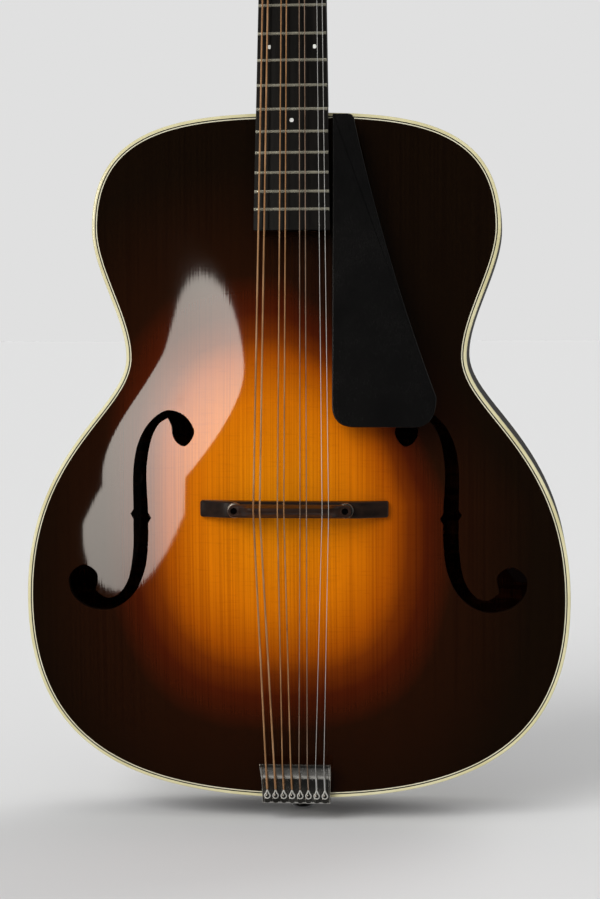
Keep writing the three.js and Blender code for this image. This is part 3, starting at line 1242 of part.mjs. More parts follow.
function buildStrings() {
  const lip = v2(TAILPIECE_FRONT - TAILPIECE_LIP - TAIL_REACH, TAILPIECE_LIP_TOP);
  for (const string of strings) {
    const { nutInHead, post, along, outward, radius, height } = approach(string);
    const touch = v3(post.x + outward.x * radius, post.y + outward.y * radius, height);
    const clear = Math.sqrt((radius + string.radius * 2 + FIT) ** 2 - radius ** 2);
    const end = touch.clone().sub(v3(along.x * clear, along.y * clear, 0));
    end.z = mix(height, nutInHead.z, clear / touch.distanceTo(nutInHead));
    const path = [
      v3(string.tailX, PEG_Y + LOOP_LENGTH, LOOP_Z + LOOP_WIRE_RADIUS),
      v3(string.tailX, lip.x, lip.y + string.radius + FIT),
      saddleCrossing(string),
      nutCrossing(string).applyMatrix4(neckMatrix),
      end.applyMatrix4(headMatrix),
    ];
    const run = tube(path, string.radius, STRING_SIDES);
    const inner = PEG_RADIUS + LOOP_CLEARANCE + LOOP_WIRE_RADIUS;
    const loopPath = shareList(LOOP_STEPS).map((share) => {
      const angle = (share - HALF_SHARE) * TURN * (1 - HALF_SHARE / LOOP_STEPS) - QUARTER_TURN;
      return v3(string.tailX + inner * Math.cos(angle), PEG_Y + inner * Math.sin(angle), LOOP_Z);
    });
    const tip = v3(string.tailX, PEG_Y + LOOP_LENGTH + FIT, LOOP_Z + LOOP_WIRE_RADIUS / 2);
    const nearSide = tube([tip, ...loopPath.slice(0, LOOP_STEPS / 2 + 1)], LOOP_WIRE_RADIUS, LOOP_SIDES);
    const farSide = tube([tip, ...loopPath.slice(LOOP_STEPS / 2).reverse()], LOOP_WIRE_RADIUS, LOOP_SIDES);
    piece(string.name, joined(run, nearSide, farSide), string.bronze ? BRONZE_STRING : STEEL_STRING);
  }
}

function buildBridge() {
  const postXs = SIDES.map(({ sign }) => BRIDGE_POST_OFFSET + (sign * BRIDGE_POST_SPACING) / 2);
  const saddleBottom = SADDLE_TOP - SADDLE_HEIGHT;
  const wheelBottom = saddleBottom - FIT - WHEEL_THICKNESS;
  const baseTop = wheelBottom - WHEEL_LIFT;
  const rings = shareList(BRIDGE_STEPS).map((share) => {
    const x = BRIDGE_OFFSET + mix(-BRIDGE_LENGTH / 2, BRIDGE_LENGTH / 2, share);
    const edges = [-BRIDGE_WIDTH / 2, BRIDGE_WIDTH / 2];
    const foot = topSurface(x, 0) - FITTING_ALLOWANCE;
    const out = Math.max(Math.abs(2 * share - 1) - BRIDGE_FLAT_SHARE, 0) / (1 - BRIDGE_FLAT_SHARE);
    const low = Math.min(topSurface(x, 0) + BRIDGE_END_RISE, baseTop);
    const top = mix(baseTop, low, (1 - Math.cos(HALF_TURN * out)) / 2);
    return [
      v3(x, edges[0], foot),
      v3(x, edges[1], foot),
      v3(x, edges[1], top - BRIDGE_CHAMFER),
      v3(x, edges[1] - BRIDGE_CHAMFER, top),
      v3(x, edges[0] + BRIDGE_CHAMFER, top),
      v3(x, edges[0], top - BRIDGE_CHAMFER),
    ];
  });
  const postBottom = baseTop - BRIDGE_POST_SINK;
  const postTop = saddleBottom + BRIDGE_POST_REACH;
  const postHoles = (low, high) =>
    postXs.map((x) => bar(x, 0, BRIDGE_POST_RADIUS + FIT, low, high, POST_SIDES, true));
  const sockets = postHoles(postBottom - FIT, baseTop + OVERRUN);
  piece("bridge_base", cut(fitted(loft(rings), topBlank, 1), ...sockets), EBONY);

  // Saddle: a low bar with an ear over each post, and a thinner blade that carries the strings.
  const stadium = [];
  for (const [end, x] of postXs.slice().reverse().entries()) {
    for (const share of shareList(HEAD_CURVE_STEPS)) {
      const angle = HALF_TURN * share - QUARTER_TURN + HALF_TURN * end;
      const radius = SADDLE_THICKNESS / 2;
      const centre = x + (end ? -1 : 1) * (SADDLE_EAR_REACH - radius);
      stadium.push(v2(centre + radius * Math.cos(angle), radius * Math.sin(angle)));
    }
  }
  const ears = slab(stadium, saddleBottom, saddleBottom + SADDLE_EAR_HEIGHT);
  const bladeRow = shareList(SADDLE_CROWN_STEPS).map((share) => {
    const x = mix(postXs[0] + SADDLE_BLADE_INSET, postXs[1] - SADDLE_BLADE_INSET, share);
    return [x, SADDLE_TOP + boardTop(x) - BOARD_THICKNESS];
  });
  const blade = loft(bladeRow.map(([x, top]) => [
    v3(x, -SADDLE_THICKNESS / 2 + JOIN, saddleBottom + SADDLE_EAR_HEIGHT - JOIN),
    v3(x, SADDLE_THICKNESS / 2 - JOIN, saddleBottom + SADDLE_EAR_HEIGHT - JOIN),
    v3(x, SADDLE_BLADE_THICKNESS / 2, top - SADDLE_BEVEL),
    v3(x, SADDLE_CREST / 2, top),
    v3(x, -SADDLE_CREST / 2, top),
    v3(x, -SADDLE_BLADE_THICKNESS / 2, top - SADDLE_BEVEL),
  ]));
  const holes = postHoles(saddleBottom - OVERRUN, SADDLE_TOP + OVERRUN);
  piece("bridge_saddle", cut(joined(ears, blade), ...holes), EBONY);

  SIDES.forEach(({ name }, index) => {
    const x = postXs[index];
    const post = bar(0, 0, BRIDGE_POST_RADIUS, postBottom, postTop, POST_SIDES);
    piece(`bridge_post_${name}`, post, NICKEL).position.x = x;
    const rim = turned([
      [WHEEL_RADIUS - WHEEL_FLUTE, 0],
      [WHEEL_RADIUS, WHEEL_FLUTE],
      [WHEEL_RADIUS, WHEEL_THICKNESS - WHEEL_FLUTE],
      [WHEEL_RADIUS - WHEEL_FLUTE, WHEEL_THICKNESS],
    ], WHEEL_FLUTES * 2, WHEEL_FLUTE);
    const boreRadius = BRIDGE_POST_RADIUS + RUNNING;
    const bore = bar(0, 0, boreRadius, -OVERRUN, WHEEL_THICKNESS + OVERRUN, POST_SIDES, true);
    piece(`thumbwheel_${name}`, cut(rim, bore), NICKEL).position.set(x, 0, wheelBottom);
  });
}

function buildTailpiece() {
  // Section in Y and Z: lip, step, bed for the pegs, then a flange that turns down over the tail.
  const front = TAILPIECE_FRONT - TAIL_REACH;
  const step = TAILPIECE_STEP - TAIL_REACH;
  const bed = TAILPIECE_BED - TAIL_REACH;
  const outer = TAILPIECE_EDGE - TAILPIECE_WALL;
  const section = [
    [front, TAILPIECE_LIP_TOP],
    [front - TAILPIECE_LIP, TAILPIECE_LIP_TOP],
    [step, TAILPIECE_STEP_TOP + TAILPIECE_LIP],
    [step - TAILPIECE_LIP, TAILPIECE_STEP_TOP],
    [bed, TAILPIECE_BED_TOP],
    [outer + TAILPIECE_LIP, TAILPIECE_BED_TOP],
    [outer, TAILPIECE_BED_TOP - TAILPIECE_LIP],
    [outer, -TAILPIECE_WALL],
    [TAILPIECE_EDGE, -TAILPIECE_WALL],
    [TAILPIECE_EDGE, TAILPIECE_BED_TOP - TAILPIECE_WALL - TAILPIECE_LIP],
    [bed, TAILPIECE_BED_TOP - TAILPIECE_WALL],
    [step, TAILPIECE_STEP_TOP - TAILPIECE_WALL],
    [front, TAILPIECE_LIP_TOP - TAILPIECE_WALL],
  ];
  const wideAt = (y) => {
    const share = clamp((y - TAILPIECE_EDGE) / TAILPIECE_FRONT, 0, 1);
    return TAILPIECE_HALF_WIDTH * mix(TAILPIECE_WAIST_SHARE, 1, share);
  };
  const cover = loft([-1, 1].map((sign) => section.map(([y, z]) => v3(sign * wideAt(y), y, z))));
  const wide = TAILPIECE_HALF_WIDTH * TAILPIECE_WAIST_SHARE;
  const knee = -TAILPIECE_WALL * 2;
  const foot = -TAILPIECE_FLANGE;
  const narrow = TAILPIECE_FLANGE_END_HALF_WIDTH;
  const flangeOutline = [
    v2(-wide, TAILPIECE_BED_TOP - TAILPIECE_WALL),
    v2(wide, TAILPIECE_BED_TOP - TAILPIECE_WALL),
    v2(wide, knee),
    v2(narrow, foot + narrow),
    v2(narrow * (1 - HALF_SHARE), foot),
    v2(-narrow * (1 - HALF_SHARE), foot),
    v2(-narrow, foot + narrow),
    v2(-wide, knee),
  ];
  const flange = loft([TAILPIECE_EDGE, outer].map((y) => flangeOutline.map((p) => v3(p.x, y, p.y))));
  const scallops = [];
  const pegs = [];
  for (const { tailX } of strings) {
    const scallopLow = TAILPIECE_BED_TOP - TAILPIECE_LIP * 2;
    const scallopY = outer + SCALLOP_RADIUS / 2;
    const pegTop = TAILPIECE_BED_TOP + PEG_HEIGHT;
    scallops.push(bar(tailX, scallopY, SCALLOP_RADIUS, scallopLow, TAILPIECE_BED_TOP, SCALLOP_SIDES));
    pegs.push(bar(tailX, PEG_Y, PEG_RADIUS, TAILPIECE_BED_TOP - JOIN, pegTop, PEG_SIDES));
  }
  piece("tailpiece", cut(joined(cover, flange, ...scallops, ...pegs), endPinHole()), NICKEL);

  const flangeFace = outer - FIT;
  const tip = TAIL_BLOCK_LENGTH - TAIL_REACH + BINDING_WIDTH - FIT;
  const knob = KNOB_SHARES.map(([radius, reach]) => [
    END_PIN_KNOB_RADIUS * radius,
    END_PIN_REACH * reach - flangeFace,
  ]);
  const pin = turned([
    [END_PIN_TIP_RADIUS, -tip],
    [END_PIN_RADIUS, -flangeFace - END_PIN_FLANGE * 2],
    [END_PIN_RADIUS, -flangeFace],
    ...knob,
  ], END_PIN_SIDES);
  piece("end_pin", alongY(pin, 0, END_PIN_Z), EBONY);
}

function buildPickguard() {
  // Outline in the bench frame's X and Y: beside the fingerboard, then out to the treble f-hole.
  const shape = new THREE.Shape();
  const hip = v2(GUARD_FOOT_REACH, GUARD_HIP);
  const top = v2(GUARD_TOP_HALF_WIDTH, GUARD_TOP);
  const shoulder = v2(GUARD_TOP_HALF_WIDTH + GUARD_TOP_CORNER / 2, GUARD_TOP - GUARD_TOP_CORNER);
  const middle = shoulder.clone().lerp(hip, HALF_SHARE);
  shape.moveTo(GUARD_NEAR, GUARD_FOOT + GUARD_CORNER);
  shape.quadraticCurveTo(GUARD_NEAR, GUARD_FOOT, GUARD_NEAR + GUARD_CORNER, GUARD_FOOT);
  shape.lineTo(GUARD_FOOT_REACH - GUARD_CORNER, GUARD_FOOT);
  shape.quadraticCurveTo(GUARD_FOOT_REACH, GUARD_FOOT, hip.x, hip.y);
  shape.quadraticCurveTo(middle.x - GUARD_BOW, middle.y - GUARD_BOW, shoulder.x, shoulder.y);
  shape.quadraticCurveTo(top.x + GUARD_TOP_CORNER / 2, top.y, top.x - GUARD_TOP_CORNER / 2, top.y);
  shape.lineTo(GUARD_NEAR, top.y);
  shape.closePath();
  const alongNeck = (y) => (y - SCALE_LENGTH) / Math.cos(NECK_ANGLE);
  const outline = shape.getPoints(HEAD_CURVE_STEPS).slice(0, -1).map((p) => v2(p.x, alongNeck(p.y)));
  const high = BOARD_THICKNESS - GUARD_BELOW_BOARD;
  piece("pickguard", slab(outline, high - GUARD_THICKNESS, high), BLACK_PLASTIC, neckGroup);

  const foot = topSurface(GUARD_POST_REACH, GUARD_POST_RISE);
  const under = v3(0, alongNeck(GUARD_POST_RISE), high - GUARD_THICKNESS).applyMatrix4(neckMatrix).z - FIT;
  const lean = GUARD_POST_RADIUS * Math.tan(NECK_ANGLE);
  const post = turned([
    [GUARD_POST_FOOT_RADIUS, foot - FITTING_ALLOWANCE],
    [GUARD_POST_FOOT_RADIUS, foot + GUARD_POST_FOOT],
    [GUARD_POST_RADIUS, foot + GUARD_POST_FOOT * 2],
    [GUARD_POST_RADIUS, under - lean],
  ], GUARD_POST_SIDES).translate(GUARD_POST_REACH, GUARD_POST_RISE, 0);
  piece("pickguard_post", fitted(post, topBlank, 1), BLACK_PLASTIC);
}

buildBody();
buildNeck();
buildFingerboard();
buildNut();
buildMachines();
buildStrings();
buildBridge();
buildTailpiece();
buildPickguard();

// Stand the instrument up, headstock at the top, with its origin in the hanger's seat.
const seat = v3(0, HANGER_REACH, -HEAD_DEPTH / 2).applyMatrix4(headMatrix);
const upright = new THREE.Group();
instrument.position.copy(seat).negate();
upright.add(instrument);
upright.rotation.x = QUARTER_TURN;
const stand = new THREE.Group();
stand.add(upright);
export default stand;
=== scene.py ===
"""Dressed model of an octave mandolin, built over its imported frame.

Shapes are worked out on the maker's bench: millimetres, X towards the treble side, Y up the neck from
the bridge line, Z out of the carved top from the plane of its edge. Bench.row turns them into the
frame's metres. Every piece keeps its place in its mesh, so that its object stays at the origin.
"""

from __future__ import annotations

import logging
import math
from dataclasses import dataclass, field
from enum import Enum

import bpy
import numpy as np
from mathutils import Matrix, Vector
from numpy.typing import NDArray


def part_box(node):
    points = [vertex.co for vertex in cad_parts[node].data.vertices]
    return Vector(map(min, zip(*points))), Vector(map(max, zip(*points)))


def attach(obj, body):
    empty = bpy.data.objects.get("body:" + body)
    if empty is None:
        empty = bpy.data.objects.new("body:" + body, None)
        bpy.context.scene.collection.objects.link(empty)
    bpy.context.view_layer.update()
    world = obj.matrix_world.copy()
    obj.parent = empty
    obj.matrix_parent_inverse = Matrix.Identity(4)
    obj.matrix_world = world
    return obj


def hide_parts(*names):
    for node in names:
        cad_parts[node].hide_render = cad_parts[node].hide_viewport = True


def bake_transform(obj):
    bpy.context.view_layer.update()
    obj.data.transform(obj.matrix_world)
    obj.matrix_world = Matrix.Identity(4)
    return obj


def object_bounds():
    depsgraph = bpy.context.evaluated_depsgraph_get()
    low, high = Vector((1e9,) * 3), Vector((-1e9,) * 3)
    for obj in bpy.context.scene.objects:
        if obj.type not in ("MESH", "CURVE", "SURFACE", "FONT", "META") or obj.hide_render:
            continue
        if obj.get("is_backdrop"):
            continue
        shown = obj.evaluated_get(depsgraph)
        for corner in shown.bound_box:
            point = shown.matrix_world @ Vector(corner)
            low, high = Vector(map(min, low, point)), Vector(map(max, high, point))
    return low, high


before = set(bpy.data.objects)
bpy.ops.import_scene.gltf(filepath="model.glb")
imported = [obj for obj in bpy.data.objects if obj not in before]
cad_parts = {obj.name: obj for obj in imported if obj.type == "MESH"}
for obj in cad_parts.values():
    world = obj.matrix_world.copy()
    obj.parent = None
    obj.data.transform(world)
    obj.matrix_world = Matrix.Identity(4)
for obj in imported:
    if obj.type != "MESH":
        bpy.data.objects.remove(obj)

Points = NDArray[np.float64]
Pair = tuple[float, float]
Triple = tuple[float, float, float]
Colour = tuple[float, float, float, float]
Corners = tuple[Pair, ...]
Stops = tuple[tuple[float, str], ...]
Piece = bpy.types.Object
Socket = bpy.types.NodeSocket
Material = bpy.types.Material
LOG = logging.getLogger("octave_mandolin")
MM = 0.001
CREASE = 38.0
FIT = 0.3
ACROSS = (12.0, 240.0, 300.0)


class Side(Enum):
    """The two sides of the instrument, with the sign of X on each."""

    BASS = -1
    TREBLE = 1

    @property
    def label(self) -> str:
        """The side's word in the frame's node names."""
        return self.name.lower()


@dataclass(frozen=True)
class Course:
    """A pair of strings tuned alike.

    Args:
        name: The letter that the node names use.
        radius: Half the string's thickness.
        saddle_x: Middle of the pair where it crosses the saddle.
        nut_x: Middle of the pair where it crosses the nut.
        bronze: Whether the wrap is bronze.
    """

    name: str
    radius: float
    saddle_x: float
    nut_x: float
    bronze: bool


COURSES = (
    Course("g", 0.58, 43.9 * -0.484, 27.5 * -0.485, True),
    Course("d", 0.43, 43.9 * -0.133, 27.5 * -0.15, True),
    Course("a", 0.30, 43.9 * 0.195, 27.5 * 0.187, False),
    Course("e", 0.18, 43.9 * 0.515, 27.5 * 0.515, False),
)


# Numbers and arrays


def mix(a: float | Points, b: float | Points, share: float | Points) -> float | Points:
    """Straight-line blend from a at share 0 to b at share 1."""
    return a + (b - a) * share


def shift(x: float = 0, y: float = 0, z: float = 0) -> Points:
    """A 4 by 4 move."""
    matrix = np.eye(4)
    matrix[:3, 3] = (x, y, z)
    return matrix


def turn(axis: str, angle: float) -> Points:
    """A 4 by 4 turn of angle radians about one axis, by the right-hand rule."""
    return np.array(Matrix.Rotation(angle, 4, axis))


def moved(points: Points, *matrices: Points) -> Points:
    """Points after 4 by 4 matrices, the last one first, as in a product of matrices."""
    product = np.linalg.multi_dot([*matrices, np.eye(4)]) if matrices else np.eye(4)
    return np.asarray(points, float) @ product[:3, :3].T + product[:3, 3]


def lifted(flat: Points, height: float | Points = 0.0) -> Points:
    """Flat X and Y points with a height."""
    flat = np.asarray(flat, float)
    tall = np.broadcast_to(np.asarray(height, float)[..., None], (*flat.shape[:-1], 1))
    return np.concatenate([flat, tall], -1)


def unit(vectors: Points) -> Points:
    """Vectors at length 1."""
    return vectors / np.maximum(np.linalg.norm(vectors, axis=-1, keepdims=True), 1e-12)


def smooth_path(points: Points, count: int) -> Points:
    """A centripetal Catmull-Rom curve: cubic pieces through the points, whose slopes weigh each gap by
    the square root of its length.

    Args:
        points: Points in rows; the gaps are measured in their first two columns.
        count: How many points to return.

    Returns:
        Points along the curve, the same share of them in each gap.
    """
    points = np.asarray(points, float)
    padded = np.vstack([2 * points[0] - points[1], points, 2 * points[-1] - points[-2]])
    gap = np.sqrt(np.linalg.norm(np.diff(padded[:, :2], axis=0), axis=1))
    row = np.linspace(0, len(points) - 1, count)
    at = np.minimum(row.astype(int), len(points) - 2)
    w = (row - at)[:, None]
    p0, p1, p2, p3 = (padded[at + k] for k in range(4))
    d0, d1, d2 = (gap[at + k][:, None] for k in range(3))
    t1 = ((p1 - p0) / d0 - (p2 - p0) / (d0 + d1) + (p2 - p1) / d1) * d1
    t2 = ((p2 - p1) / d1 - (p3 - p1) / (d1 + d2) + (p3 - p2) / d2) * d1
    return p1 + t1 * w + (3 * (p2 - p1) - 2 * t1 - t2) * w**2 + (2 * (p1 - p2) + t1 + t2) * w**3


def rounded(corners: Points, radius: float | Points, steps: int = 6, closed: bool = True) -> Points:
    """Corners rounded by quadratic curves: each starts and ends at the radius from its corner.

    Args:
        corners: Corner points in order.
        radius: One radius or one for each corner; it shrinks where an edge is short.
        steps: Points on each rounded corner.
        closed: Whether the last corner joins the first.

    Returns:
        The rounded outline's points.
    """
    corners = np.asarray(corners, float)
    reach = np.broadcast_to(np.asarray(radius, float), (len(corners),))[:, None]

    def towards(other: Points) -> Points:
        """The point at the radius from each corner, on the way to another."""
        gap = other - corners
        length = np.maximum(np.linalg.norm(gap, axis=1, keepdims=True), 1e-9)
        return corners + gap * np.minimum(reach / length, 0.48)

    a, b = towards(np.roll(corners, 1, 0)), towards(np.roll(corners, -1, 0))
    t = np.linspace(0, 1, steps)[None, :, None]
    curves = (1 - t) ** 2 * a[:, None] + 2 * t * (1 - t) * corners[:, None] + t**2 * b[:, None]
    result = curves.reshape(-1, corners.shape[1])
    return result if closed else np.vstack([corners[:1], result[steps:-steps], corners[-1:]])


def outward(outline: Points) -> Points:
    """Outward normals of a closed flat outline: its direction at each point, a quarter turn clockwise."""
    along = np.roll(outline, -1, 0) - np.roll(outline, 1, 0)
    return unit(np.stack([along[:, 1], -along[:, 0]], -1))


def anticlockwise(outline: Points) -> Points:
    """The outline, turned round if its signed area is negative."""
    x, y = outline[:, 0], outline[:, 1]
    return outline if np.sum(x * np.roll(y, -1) - y * np.roll(x, -1)) > 0 else outline[::-1]


def slab(outline: Points, low: float, high: float, edge: float = 0.0, steps: int = 4) -> Points:
    """Rings of a flat piece with rounded rims: at a rim the outline moves in by edge times one minus the
    sine, while the height changes by edge times one minus the cosine. A ring on each face inside the rim
    keeps the face's shading flat.

    Args:
        outline: Closed outline in X and Y.
        low: Height of the lower face.
        high: Height of the upper face.
        edge: Radius of both rims.
        steps: Rings on each rim.

    Returns:
        Rings, from the lower face to the upper one.
    """
    outline = anticlockwise(np.asarray(outline, float))
    if edge <= 0:
        return np.stack([lifted(outline, low), lifted(outline, high)])
    angle = np.linspace(0, math.pi / 2, steps)
    inset = edge * (1 - np.sin(angle))
    rise = edge * (1 - np.cos(angle))
    inner = edge * 1.25
    inset, height = np.r_[inner, inset, inset[::-1], inner], np.r_[low, low + rise, (high - rise)[::-1], high]
    flat = outline[None] - outward(outline)[None] * inset[:, None, None]
    return lifted(flat, np.broadcast_to(height[:, None], flat.shape[:2]))


def block(low: Triple, high: Triple) -> Points:
    """Rings of a plain box between two corners, for cutters."""
    outline = np.array([(low[0], low[1]), (high[0], low[1]), (high[0], high[1]), (low[0], high[1])])
    return slab(outline, low[2], high[2])


def lathe(rows: Points, sides: int, flat: float = 1.0) -> Points:
    """Rings about Z: each row's radius times the cosine and sine of equal angles, at the row's height.

    Args:
        rows: Radius and height in rows.
        sides: Points on each ring.
        flat: Share by which the ring is flattened along Y.

    Returns:
        Rings in the order of the rows.
    """
    rows = np.asarray(rows, float)
    angle = 2 * math.pi * np.arange(sides) / sides
    radius, height = rows[:, :1], rows[:, 1:2]
    return np.stack([radius * np.cos(angle), radius * flat * np.sin(angle), height + 0 * angle], -1)


def tube(path: Points, radius: float | Points, sides: int, reference: Points) -> Points:
    """Rings along a path: at each point a circle across the path's direction, whose first axis is the
    direction crossed with a reference.

    Args:
        path: Points in rows.
        radius: One radius or one for each point.
        sides: Points on each ring.
        reference: A direction, or one for each point, that the path never follows.

    Returns:
        Rings in the order of the points.
    """
    along = unit(np.gradient(path, axis=0))
    side = unit(np.cross(along, np.broadcast_to(reference, path.shape)))
    up = np.cross(side, along)
    angle = 2 * math.pi * np.arange(sides) / sides
    wide = np.broadcast_to(np.asarray(radius, float), (len(path),))[:, None, None]
    circle = side[:, None] * np.cos(angle)[None, :, None] + up[:, None] * np.sin(angle)[None, :, None]
    return path[:, None] + wide * circle


def disc(
    x: float, y: float, radius: float, low: float, high: float, edge: float = 0.0, sides: int = 32
) -> Points:
    """Rings of a round upright bar, for pegs, dots and cutters."""
    angle = 2 * math.pi * np.arange(sides) / sides
    outline = np.stack([x + radius * np.cos(angle), y + radius * np.sin(angle)], -1)
    return slab(outline, low, high, edge)


# Bench and meshes


@dataclass(frozen=True)
class Bench:
    """The bench's place in the frame, read from the top binding's box.

    Args:
        rim_y: The frame's Y of the plane of the top's edge.
        bridge_z: The frame's Z of the bridge line.
    """

    rim_y: float
    bridge_z: float

    @classmethod
    def read(cls, shoulder: float) -> Bench:
        """The bench of the loaded frame, whose body ends at the shoulder, in millimetres."""
        low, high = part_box("top_binding")
        return cls(low.y, high.z - shoulder * MM)

    def row(self, points: Points) -> Points:
        """Bench millimetres as the frame's metres: X stays, Z becomes minus Y, and Y becomes Z."""
        p = np.asarray(points, float) * MM
        return np.stack([p[..., 0], self.rim_y - p[..., 2], self.bridge_z + p[..., 1]], -1)

    def back(self, points: Points) -> Points:
        """The frame's metres as bench millimetres."""
        p = np.asarray(points, float)
        return np.stack([p[..., 0], p[..., 2] - self.bridge_z, self.rim_y - p[..., 1]], -1) / MM


@dataclass
class Draft:
    """Closed skins gathered into one mesh, in bench millimetres."""

    points: list[Points] = field(default_factory=list)
    faces: list[list[int]] = field(default_factory=list)
    finishes: list[int] = field(default_factory=list)
    values: dict[str, list[Points]] = field(default_factory=dict)
    size: int = 0

    def skin(
        self,
        rings: Points,
        finish: int | Points = 0,
        loop: bool = False,
        poles: Points | None = None,
        **values: Points,
    ) -> Draft:
        """Adds one closed skin through rings of points. Its faces point outwards: they are turned round if
        the sum of the triple products of their corners, six times the volume, is negative.

        Args:
            rings: Points by ring and by place on the ring.
            finish: Which of the piece's materials, one for all or one for each place on the ring.
            loop: Whether the last ring joins the first.
            poles: Two points that close the ends; else flat faces close them.
            values: Numbers for each point, stored as attributes of the mesh.

        Returns:
            The draft itself.
        """
        rows, count = rings.shape[:2]
        flat = rings.reshape(-1, 3)
        spans = rows if loop else rows - 1
        a = np.arange(spans)[:, None] * count
        b = (a + count) % (rows * count)
        j = np.arange(count)[None, :]
        k = (j + 1) % count
        quads = np.stack([a + j, a + k, b + k, b + j], -1).reshape(-1, 4)
        last = (rows - 1) * count
        fans = np.zeros((0, 3), int)
        if poles is not None:
            flat = np.vstack([flat, poles])
            top = np.full(count, rows * count)
            first = np.stack([top, k[0], j[0]], -1)
            fans = np.vstack([first, np.stack([top + 1, last + j[0], last + k[0]], -1)])
        caps = [] if loop or poles is not None else [np.arange(count)[::-1], np.arange(last, last + count)]

        def six_volumes(p: Points, q: Points, r: Points) -> float:
            """Sum of the triple products of triangles."""
            return float(np.sum(p * np.cross(q, r)))

        corner = flat[quads]
        volume = six_volumes(corner[:, 0], corner[:, 1], corner[:, 2])
        volume += six_volumes(corner[:, 0], corner[:, 2], corner[:, 3])
        if len(fans):
            volume += six_volumes(*(flat[fans[:, n]] for n in range(3)))
        for cap in caps:
            p = flat[cap]
            volume += six_volumes(np.broadcast_to(p[0], p[1:-1].shape), p[1:-1], p[2:])
        step = -1 if volume < 0 else 1
        kinds = np.broadcast_to(np.asarray(finish, int), (count,))
        for group in (quads, fans, *[cap[None] for cap in caps]):
            self.faces += (group[:, ::step] + self.size).tolist()
        end = kinds[0] if np.isscalar(finish) or np.ndim(finish) == 0 else 0
        self.finishes += np.tile(kinds, spans).tolist() + [int(end)] * (len(fans) + len(caps))
        for name in {*values, *self.values}:
            whole = np.asarray(values.get(name, np.zeros((rows, count))), float)
            whole = np.broadcast_to(whole, (rows, count)).reshape(-1)
            if poles is not None:
                whole = np.r_[whole, whole[:count].mean(), whole[-count:].mean()]
            self.values.setdefault(name, [np.zeros(self.size)] if self.size else []).append(whole)
        self.points.append(flat)
        self.size += len(flat)
        return self

    def build(self, name: str, bench: Bench, *materials: Material, crease: float = CREASE) -> Piece:
        """The mesh as an object at the origin, smooth but for edges sharper than the crease.

        Args:
            name: The piece's name.
            bench: Turns the points into the frame's metres.
            materials: The finishes that the skins number.
            crease: The angle in degrees past which an edge stays sharp.

        Returns:
            The new object.
        """
        mesh = bpy.data.meshes.new(name)
        mesh.from_pydata(bench.row(np.vstack(self.points)), [], self.faces)
        for material in materials:
            mesh.materials.append(material)
        mesh.polygons.foreach_set("material_index", self.finishes)
        for key, parts in self.values.items():
            mesh.attributes.new(key, "FLOAT", "POINT").data.foreach_set("value", np.concatenate(parts))
        piece = bpy.data.objects.new(name, mesh)
        bpy.context.collection.objects.link(piece)
        shade(piece, crease)
        return piece


def shade(piece: Piece, crease: float) -> None:
    """Smooth faces, with edges sharper than the crease, in degrees, kept sharp."""
    mesh = piece.data
    mesh.polygons.foreach_set("use_smooth", np.ones(len(mesh.polygons), bool))
    mesh.set_sharp_from_angle(angle=math.radians(crease))
    mesh.update()


def settled(piece: Piece) -> Piece:
    """The piece with its modifiers worked into its mesh."""
    bpy.context.view_layer.update()
    graph = bpy.context.evaluated_depsgraph_get()
    worked = piece.evaluated_get(graph)
    mesh = bpy.data.meshes.new_from_object(worked, preserve_all_data_layers=True, depsgraph=graph)
    old = piece.data
    piece.modifiers.clear()
    piece.data = mesh
    bpy.data.meshes.remove(old)
    mesh.name = piece.name
    return piece


def hollowed(
    piece: Piece, cutter: Draft, bench: Bench, crease: float = CREASE, crossing: bool = True
) -> Piece:
    """The piece with the cutter's skins taken out of it.

    Args:
        piece: The piece to cut.
        cutter: Closed skins that are taken out.
        bench: Turns the cutter into the frame's metres.
        crease: The angle in degrees past which an edge stays sharp.
        crossing: Whether skins of the piece or of the cutter run through each other.

    Returns:
        The piece.
    """
    tool = cutter.build(f"{piece.name}_cutter", bench)
    for kind in piece.data.materials:
        tool.data.materials.append(kind)
    cut = piece.modifiers.new("cut", "BOOLEAN")
    cut.operation = "DIFFERENCE"
    cut.solver = "EXACT"
    cut.use_self = crossing
    cut.object = tool
    settled(piece)
    bpy.data.meshes.remove(tool.data)
    shade(piece, crease)
    return piece


def coordinates(piece: Piece) -> Points:
    """The mesh's points, in the frame's metres."""
    co = np.empty(len(piece.data.vertices) * 3, np.float32)
    piece.data.vertices.foreach_get("co", co)
    return co.reshape(-1, 3).astype(float)


def fitted_to(piece: Piece, body: str, slot: str, *nodes: str) -> Piece:
    """Sets the piece on its body, in place of CAD nodes.

    Args:
        piece: The finished piece.
        body: The frame's body that it rides on.
        slot: The record's material slot; not used.
        nodes: CAD nodes that it stands for.

    Returns:
        The piece.
    """
    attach(piece, body)
    if nodes:
        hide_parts(*nodes)
    LOG.info("%s: %d faces, rides on %s", piece.name, len(piece.data.polygons), body)
    return piece


# Finishes


def paint(code: str) -> Colour:
    """A hex colour as linear light: each channel above 0.04 is ((c + 0.055) / 1.055) to the power 2.4."""
    c = np.array([int(code[i : i + 2], 16) / 255 for i in (1, 3, 5)])
    linear = np.where(c <= 0.04045, c / 12.92, ((c + 0.055) / 1.055) ** 2.4)
    return (*linear.tolist(), 1.0)


